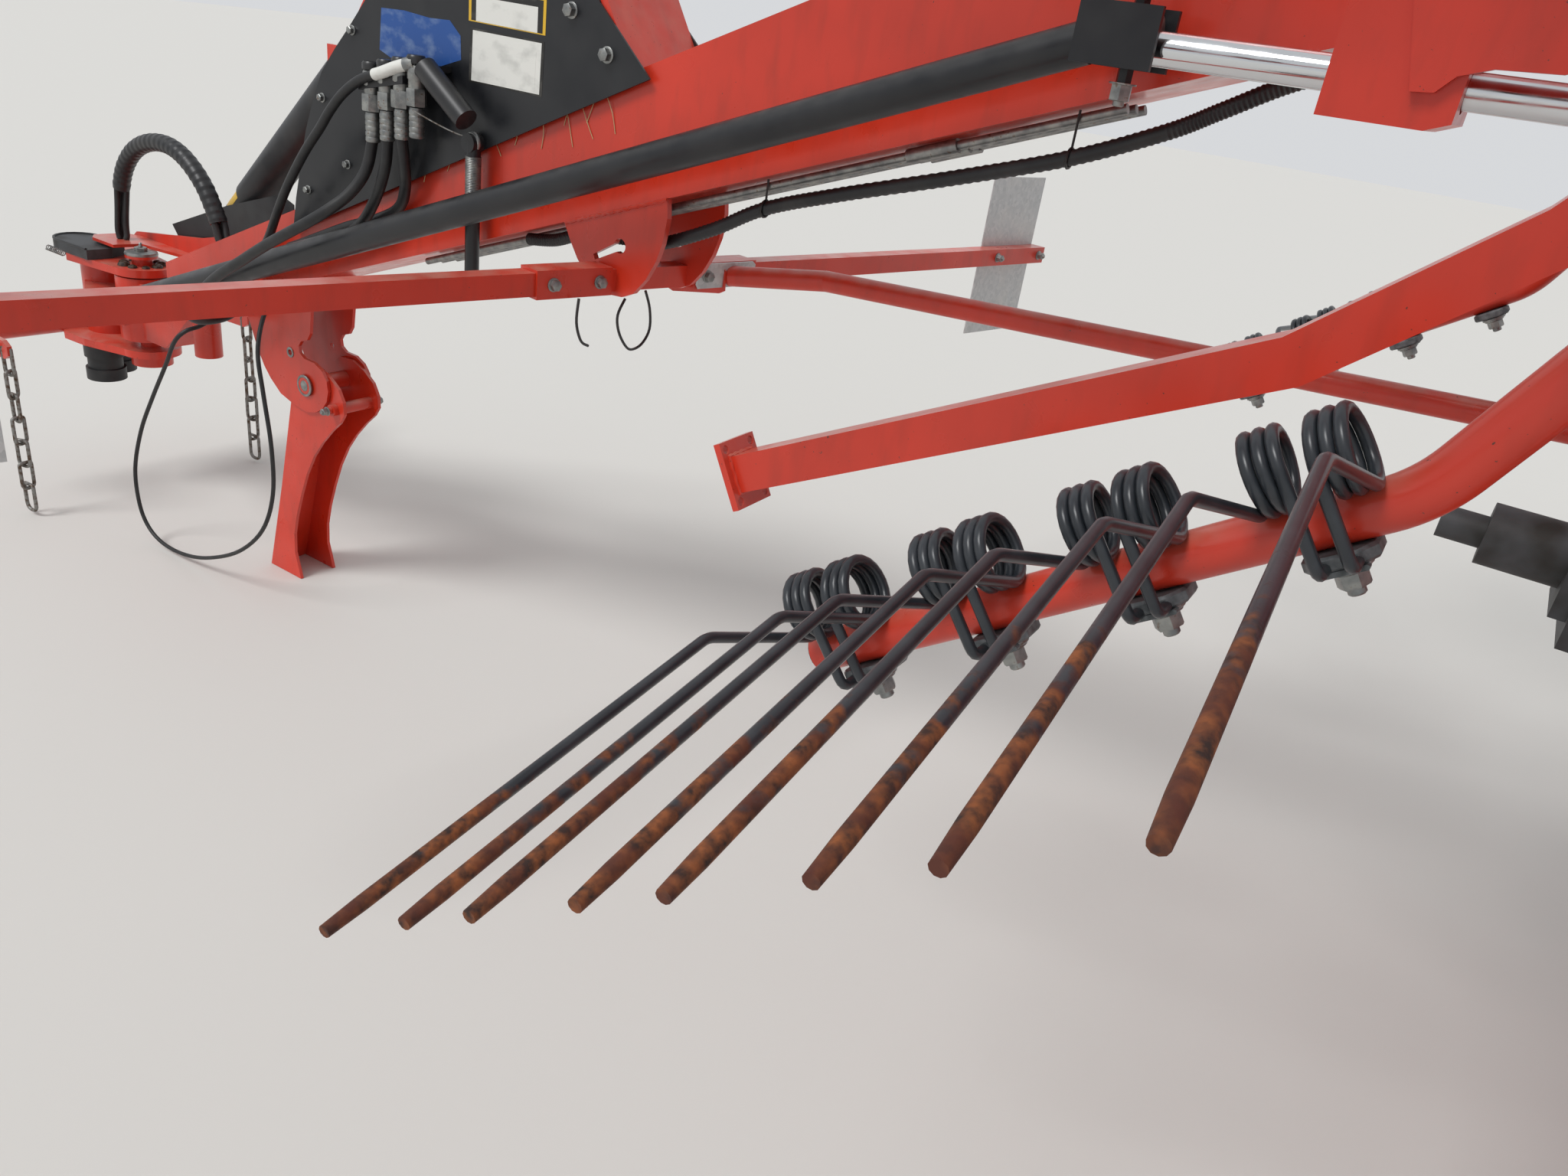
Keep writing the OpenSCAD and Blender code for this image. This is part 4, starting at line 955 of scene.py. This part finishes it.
class RAKE_OT_hitch_fittings(bpy.types.Operator):
    """Dresses the hitch: pin cap, grease, bolts of the lower link shaft, spring and safety chains"""
    bl_idname = "rake.hitch_fittings"
    bl_label = "Hitch pin, grease and chains"

    def execute(self, context):
        cap, place = Shape(), shift(HITCH_PIVOT.x, 0, 0.693)
        cap.turned([(0.0405, -0.0005), (0.0410, 0.002), (0.0395, 0.0065), (0.0330, 0.0085)], place, 36)
        cap.turned([(0.0150, 0.0080), (0.0160, 0.0100), (0.0160, 0.0170), (0.0140, 0.0190)], place, 6)
        cap.turned([(0.0045, 0.0180), (0.0055, 0.0200), (0.0035, 0.0260), (0.0045, 0.0280),
                    (0.0030, 0.0300)], place, 12)
        for k, lump in enumerate(around(place, 0.046, 9, -0.0275)):
            size = 0.010 + 0.006 * sin(k * 2.3) ** 2
            cap.turned([(size, 0.0), (size * 0.9, size * 0.35), (size * 0.45, size * 0.6)], lump, 10, 1)
        cap.made("hitch_pin_cap", "frame", "zinc_plate", "old_grease")
        bolts = Shape()
        for side in (1, -1):
            bolts.bolt((3.142, side * 0.5051, 0.460), (0, side, 0), 0.012, turn=1)
            for z, turn in ((0.469, 0.478), (0.451, 0.442)):
                bolts.bolt((2.975, side * 0.3423, z), (0, side, 0), 0.016, turn=turn)
        bolts.made("link_bolts", "hitch", "zinc_plate")
        self.chains()
        self.cover_rim()
        return {"FINISHED"}

    def chains(self):
        """Links of welded wire, each turned a quarter from the one before, hanging from the two lugs."""
        shape, links, pitch, wire_radius = Shape(), 7, 0.0632, 0.0048
        for side in (1, -1):
            for k in range(links):
                tall, wide = (0.0365, 0.0155) if k < links - 1 else (0.0380, 0.0200)
                link = rounded([(0, tall, 0), (wide, tall, 0), (wide, -tall, 0), (-wide, -tall, 0),
                                (-wide, tall, 0), (0, tall, 0)], wide, 6)[:-1]
                turn = spin(radians(12 + 90 * (k % 2) + 14 * sin(2 * k)), "Z")
                place = shift(2.942, side * LINK_SIDE, 0.4300 - pitch * k) @ turn @ spin(QUARTER, "X")
                shape.tube(link, wire_radius, 10, 0, place, closed=True)
        piece = shape.made("safety_chains", "hitch", "forged_chain")
        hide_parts("hitch_chains")

    def cover_rim(self):
        """Moulded rim of the cover beside the hitch pin, and a small return spring."""
        shape = Shape()
        rim = [(3.100 + x, 0.040 + y, 0.6920) for x, y in circle(0.060, 20, -QUARTER)[:11]]
        shape.tube([(2.966, 0.094, 0.6920)] + rim[::-1], 0.0035, 8)
        coil = [(3.020 + 0.0009 * k, 0.125 + 0.007 * cos(k * 0.7), 0.672 + 0.007 * sin(k * 0.7))
                for k in range(90)]
        shape.tube(coil, 0.0013, 6, 1)
        shape.made("cover_rim_and_spring", "hitch", "moulded_polyethylene", "zinc_plate")


class RAKE_OT_steering_fittings(bpy.types.Operator):
    """Adds the chromed stretch of the steering rod, its fork bolt and the torn rubber boot"""
    bl_idname = "rake.steering_fittings"
    bl_label = "Steering rod, bolt and boot"

    def execute(self, context):
        rod = Shape()
        rod.turned([(0.0198, 0), (0.0204, 0.002), (0.0204, 1.396)],
                   facing((-1.150, ROD_Y, 1.505), (1, 0, 0)), 40)
        rod.turned([(0.0280, -0.0010), (0.0304, 0.0030), (0.0304, 0.0520), (0.0280, 0.0560)],
                   facing((0.245, ROD_Y, 1.515), (1, 0, 0)), 40, 1)
        rod.bolt((0.272, ROD_Y, 1.4618), (0, 0, -1), 0.024, 1, nut=True)
        rod.bolt((0.272, ROD_Y, 1.5582), (0, 0, 1), 0.024, 1)
        rod.made("chromed_rod", "steering_rod_body", "hard_chrome", "zinc_plate")
        self.boot()
        return {"FINISHED"}

    def boot(self):
        """Two rubber rings about the rod, torn ragged round their rims."""
        shape, count = Shape(), 26
        angles = [tau * k / count for k in range(count)]
        inner = [(0.0240, a, 0.0) for a in angles]
        outer = [(0.0445 + 0.006 * sin(5 * a) + 0.005 * sin(11 * a + 1), a, 0.008 * sin(3 * a))
                 for a in angles]
        for low, high in ((-0.050, -0.004), (0.004, 0.050)):
            points = [(x + lean, r * cos(a), r * sin(a))
                      for x, ring in ((low, inner), (low, outer), (high, outer), (high, inner))
                      for r, a, lean in ring]
            faces = [face[::-1] for face in skin(4, count, True)]
            shape.put(points, faces, place=shift(-0.052, ROD_Y, 1.513))
        shape.made("torn_rubber_rings", "frame", "hose_rubber")


class RAKE_OT_wheels(bpy.types.Operator):
    """Moulds the tyres with their tread, bolts the discs and makes the rotors' small wheels"""
    bl_idname = "rake.wheels"
    bl_label = "Road wheels and rotor wheels"

    def execute(self, context):
        for side, name in SIDES:
            body = "road_wheel_" + name
            place = mirrored(side) @ shift(*ROAD_WHEEL) @ spin(-QUARTER, "X")
            tyre, bolts = Shape(), Shape()
            self.carcass(tyre, place)
            self.tread(tyre, place)
            piece = tyre.made("tyre_tread_" + name, body, "tyre_rubber")
            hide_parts("tyre_" + name)
            stud_ring, disc_face = 0.056, 0.0600
            for at in around(place, stud_ring, 6, disc_face):
                bolts.turned([(0.0125, 0), (0.0125, 0.013), (0.0105, 0.015)], at, 6)
            bolts.turned([(0.0260, disc_face), (0.0330, 0.0602), (0.0330, 0.0760), (0.0280, 0.0860)],
                         place, 28)
            valve = [place @ Vector(p) for p in ((0.150, 0, 0.060), (0.158, 0, 0.075), (0.163, 0, 0.098))]
            bolts.tube(valve, 0.0045, 10, 1)
            bolts.made("wheel_bolts_" + name, body, "zinc_plate", "hose_rubber")
        for side, name in SIDES:
            for k, (x, y) in enumerate(SMALL_WHEEL_SPOTS):
                axle = shift(ROTOR_CENTRE.x + x, ROTOR_CENTRE.y + y, SMALL_WHEEL_RADIUS)
                wheel = Shape()
                self.small_wheel(wheel, fold_place(side) @ axle @ spin(-QUARTER, "X"))
                node = "small_wheel_%s%d" % (name[0], k + 1)
                piece = wheel.made("rolling_" + node, node + "_body", "tyre_rubber", "red_enamel",
                                   "zinc_plate")
                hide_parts(node)
        return {"FINISHED"}

    def carcass(self, shape, place):
        """Road tyre with rounded shoulders and bead rings, turned about the place's Z."""
        rim, base = RIM_RADIUS, TYRE_RADIUS - sizes().tread
        section = [(rim, 0.020), (rim + 0.006, 0.009), (rim + 0.016, 0.004), (rim + 0.022, 0.007),
                   ((rim + base) / 2, 0.0015), (base - 0.030, 0.008), (base - 0.010, 0.024), (base, 0.058)]
        shape.turned(both_halves(section, TYRE_WIDTH / 2), place, 72, closed=True)

    def tread(self, shape, place):
        """Four rows of blocks, each row out of step with its neighbours and each block set askew."""
        blocks, base = 40, TYRE_RADIUS - sizes().tread
        half_step = tau / blocks * 0.36
        faces = [[0, 2, 3, 1], [4, 5, 7, 6], [0, 1, 5, 4], [1, 3, 7, 5], [3, 2, 6, 7], [2, 0, 4, 6]]
        for low, high, phase in ((-0.40, -0.23, 0.45), (-0.19, -0.03, 0.0), (0.03, 0.19, 0.5),
                                 (0.23, 0.40, 0.05)):
            for k in range(blocks):
                points = []
                for r, taper in ((base - 0.004, 1.0), (TYRE_RADIUS - 0.0002, 0.93)):
                    for z, skew in ((low * TYRE_WIDTH, -0.18), (high * TYRE_WIDTH, 0.18)):
                        for way in (-1, 1):
                            a = tau * (k + phase) / blocks + half_step * (way * taper + skew)
                            points.append((r * cos(a), r * sin(a), z))
                shape.put(points, faces, flat=True, place=place)

    def small_wheel(self, shape, place):
        """Solid tyre on a pressed disc with its hub, held by four nuts."""
        section = [(0.100, 0.018), (0.110, 0.006), (0.145, 0.0005), (0.180, 0.012), (0.194, 0.028),
                   (0.1995, 0.045)]
        shape.turned(both_halves(section, 0.070), place, 56, closed=True)
        shape.turned([(0.1005, -0.050), (0.1005, 0.050), (0.094, 0.052), (0.090, 0.020), (0.045, 0.012),
                      (0.040, 0.060), (0.0156, 0.060), (0.0156, -0.060), (0.040, -0.060),
                      (0.045, -0.002), (0.090, 0.004), (0.094, -0.052)], place, 48, 1, closed=True)
        for at in around(place, 0.066, 4, 0.0145, pi / 4):
            shape.turned([(0.0085, 0), (0.0085, 0.0065), (0.0070, 0.0075)], at, 6, 2)


CONDUIT = [
    (1.400, 0.050, 1.034), (1.330, 0.052, 1.046), (1.250, 0.055, 1.074), (1.160, 0.052, 1.083),
    (1.080, 0.050, 1.091), (0.968, 0.050, 1.137), (0.864, 0.050, 1.192), (0.725, 0.050, 1.240),
    (0.531, 0.050, 1.300), (0.362, 0.050, 1.356), (0.237, 0.050, 1.410), (0.173, 0.050, 1.446),
    (0.100, 0.050, 1.488), (0.030, 0.050, 1.518)]


class RAKE_OT_trim(bpy.types.Operator):
    """Runs the corrugated conduit under the beam, with cable ties, weld beads and caught straw"""
    bl_idname = "rake.trim"
    bl_label = "Conduit, ties, welds and straw"

    def execute(self, context):
        line, conduit, valley, rib = smooth_line(CONDUIT, 26), Shape(), 0.0105, 0.0014
        conduit.tube(line, [valley + rib * (i % 2) for i in range(len(line))], 12)
        conduit.made("conduit", "frame", "moulded_polyethylene")
        self.ties()
        self.welds()
        self.straw()
        return {"FINISHED"}

    def ties(self):
        """Two cable ties on the front bar, and three that hang the conduit from the beam."""
        shape = Shape()
        for route in ([(0.187, 0.992), (0.190, 0.950), (0.176, 0.915), (0.156, 0.903)],
                      [(0.062, 0.979), (0.080, 0.950), (0.074, 0.919), (0.053, 0.890), (0.033, 0.879),
                       (0.004, 0.886), (-0.016, 0.912), (-0.012, 0.952), (0.005, 0.988)]):
            shape.tube(smooth_line([(1.140 + 0.004 * y, y, z) for y, z in route], 5), 0.0026, 8)
        for x, z in ((1.250, 1.074), (0.864, 1.192), (0.362, 1.356)):
            ring = [(x, 0.050 + across, z + up) for across, up in circle(0.0135, 14)]
            shape.tube(ring, 0.0022, 6, closed=True)
            shape.tube([(x, 0.050, z + 0.013), (x, 0.050, beam_underside(x) - 0.0004)], 0.0020, 6)
        shape.made("cable_ties", "frame", "nylon")

    def welds(self):
        """Weld beads along the seams that the photograph shows, each a row of small ripples."""
        beads, ring = Shape(), Shape()
        for side in (1, -1):
            for y, ends in ((0.0905, (1.040, 1.274)), (0.0625, (2.071, 2.340))):
                seam = [Vector((x, side * y, beam_underside(x) - 0.001)) for x in ends]
                beads.tube(self.ripple(*seam), 0.0035, 7)
        beads.made("beam_welds", "frame", "red_enamel")
        guard = fold_place(1) @ shift(0.554, 0.850, 0.910) @ spin(radians(-27.1), "Z")
        tube_corners = ((0.0255, 0.0255), (-0.0255, 0.0255), (-0.0255, -0.0255), (0.0255, -0.0255))
        corners = [Vector((-0.0060, y, z)) for y, z in tube_corners]
        points = []
        for a, b in zip(corners, corners[1:] + corners[:1]):
            points += self.ripple(a, b)
        ring.tube([guard @ p for p in points], 0.0032, 7, closed=True)
        ring.made("guard_weld_left", "arm_left", "red_enamel")

    def ripple(self, start, end):
        """Points along a seam, each a little off the line, as the welder's hand left it."""
        pitch = 0.004
        count = max(3, int((end - start).length / pitch))
        return [start.lerp(end, k / count) + Vector((0, 0.0006 * sin(k * 2.1), 0.0007 * sin(k * 1.3)))
                for k in range(count)]

    def straw(self):
        """Stalks caught under the edge of the panel and on the beam's side."""
        shape = Shape()
        stalks = [((1.290, 1.325), (1.262, 1.225)), ((1.262, 1.300), (1.285, 1.258)),
                  ((1.330, 1.262), (1.338, 1.210)), ((1.190, 1.330), (1.165, 1.262)),
                  ((1.205, 1.322), (1.232, 1.270)), ((1.560, 1.160), (1.585, 1.128)),
                  ((1.470, 1.220), (1.440, 1.180)), ((1.395, 1.247), (1.405, 1.205)),
                  ((1.245, 1.310), (1.215, 1.246)), ((1.640, 1.120), (1.652, 1.096))]
        for k, (top, bottom) in enumerate(stalks):
            bow = 0.004 * sin(k * 1.7)
            middle = ((top[0] + bottom[0]) / 2 + bow, 0.0925, (top[1] + bottom[1]) / 2)
            shape.tube(smooth_line([(top[0], 0.0975, top[1]), middle, (bottom[0], 0.0912, bottom[1])], 3),
                       0.0007, 5)
        shape.made("caught_straw", "frame", "dry_straw")


class RAKE_OT_gear_fittings(bpy.types.Operator):
    """Bolts the gearboxes' covers and labels the drive-shaft guard"""
    bl_idname = "rake.gear_fittings"
    bl_label = "Gearbox bolts and shaft label"

    def execute(self, context):
        for side, name in SIDES:
            shape = Shape()
            cover_top, bolt_ring = 0.8326, 0.104
            cover = fold_place(side) @ shift(ROTOR_CENTRE.x, ROTOR_CENTRE.y, cover_top)
            for at in around(cover, bolt_ring, 8, first=pi / 8):
                shape.turned([(0.0085, -0.001), (0.0085, 0.0075), (0.0070, 0.0085)], at, 6)
            shape.made("gearbox_bolts_" + name, "arm_" + name, "zinc_plate")
        self.shaft_label()
        return {"FINISHED"}

    def shaft_label(self):
        """Blank yellow label that wraps part of the parked drive shaft's guard."""
        shape, steps = Shape(), 14
        low, high = Vector((2.772, -0.1683, 0.725)), Vector((2.380, -0.1683, 1.081))
        along = (high - low).normalized()
        arc = [radians(20 + 150 * k / steps) for k in range(steps + 1)]
        points = [(0.0454 * cos(a), 0.0454 * sin(a), z) for z in (0.0, 0.085) for a in arc]
        faces = [[k, k + 1, k + steps + 2, k + steps + 1] for k in range(steps)]
        shape.put(points, faces, place=facing(low + along * 0.16, along))
        shape.made("shaft_label", "frame", "yellow_vinyl")


# Sidebar panel and registration

OPERATORS = (RAKE_OT_stage, RAKE_OT_finishes, RAKE_OT_hoses, RAKE_OT_paint, RAKE_OT_tines, RAKE_OT_rotors,
             RAKE_OT_wheels, RAKE_OT_panel_fittings, RAKE_OT_bar_fittings, RAKE_OT_stand_fittings,
             RAKE_OT_hitch_fittings, RAKE_OT_steering_fittings, RAKE_OT_gear_fittings, RAKE_OT_trim)


class RAKE_PT_build(bpy.types.Panel):
    """Sizes, colours and the steps that dress the hay rake"""
    bl_label = "Hay rake"
    bl_idname = "RAKE_PT_build"
    bl_space_type = "VIEW_3D"
    bl_region_type = "UI"
    bl_category = "Hay rake"

    def draw(self, context):
        column = self.layout.column()
        for group in (looks(), sizes()):
            for name in group.__annotations__:
                column.prop(group, name)
        for operator in OPERATORS:
            column.operator(operator.bl_idname)


CLASSES = (RakeLooks, RakeSizes) + OPERATORS + (RAKE_PT_build,)


def register():
    """Makes the operators, the panel and the two groups of settings known to Blender."""
    for part in CLASSES:
        bpy.utils.register_class(part)
    bpy.types.Scene.rake_looks = PointerProperty(type=RakeLooks)
    bpy.types.Scene.rake_sizes = PointerProperty(type=RakeSizes)


def unregister():
    """Takes back what register did."""
    del bpy.types.Scene.rake_sizes
    del bpy.types.Scene.rake_looks
    for part in reversed(CLASSES):
        bpy.utils.unregister_class(part)


def main():
    """Runs every step in order."""
    register()
    bpy.ops.rake.stage()
    bpy.ops.rake.finishes()
    bpy.ops.rake.hoses()
    bpy.ops.rake.paint()
    bpy.ops.rake.tines()
    bpy.ops.rake.rotors()
    bpy.ops.rake.wheels()
    bpy.ops.rake.panel_fittings()
    bpy.ops.rake.bar_fittings()
    bpy.ops.rake.stand_fittings()
    bpy.ops.rake.hitch_fittings()
    bpy.ops.rake.steering_fittings()
    bpy.ops.rake.gear_fittings()
    bpy.ops.rake.trim()


if __name__ == "__main__":
    main()
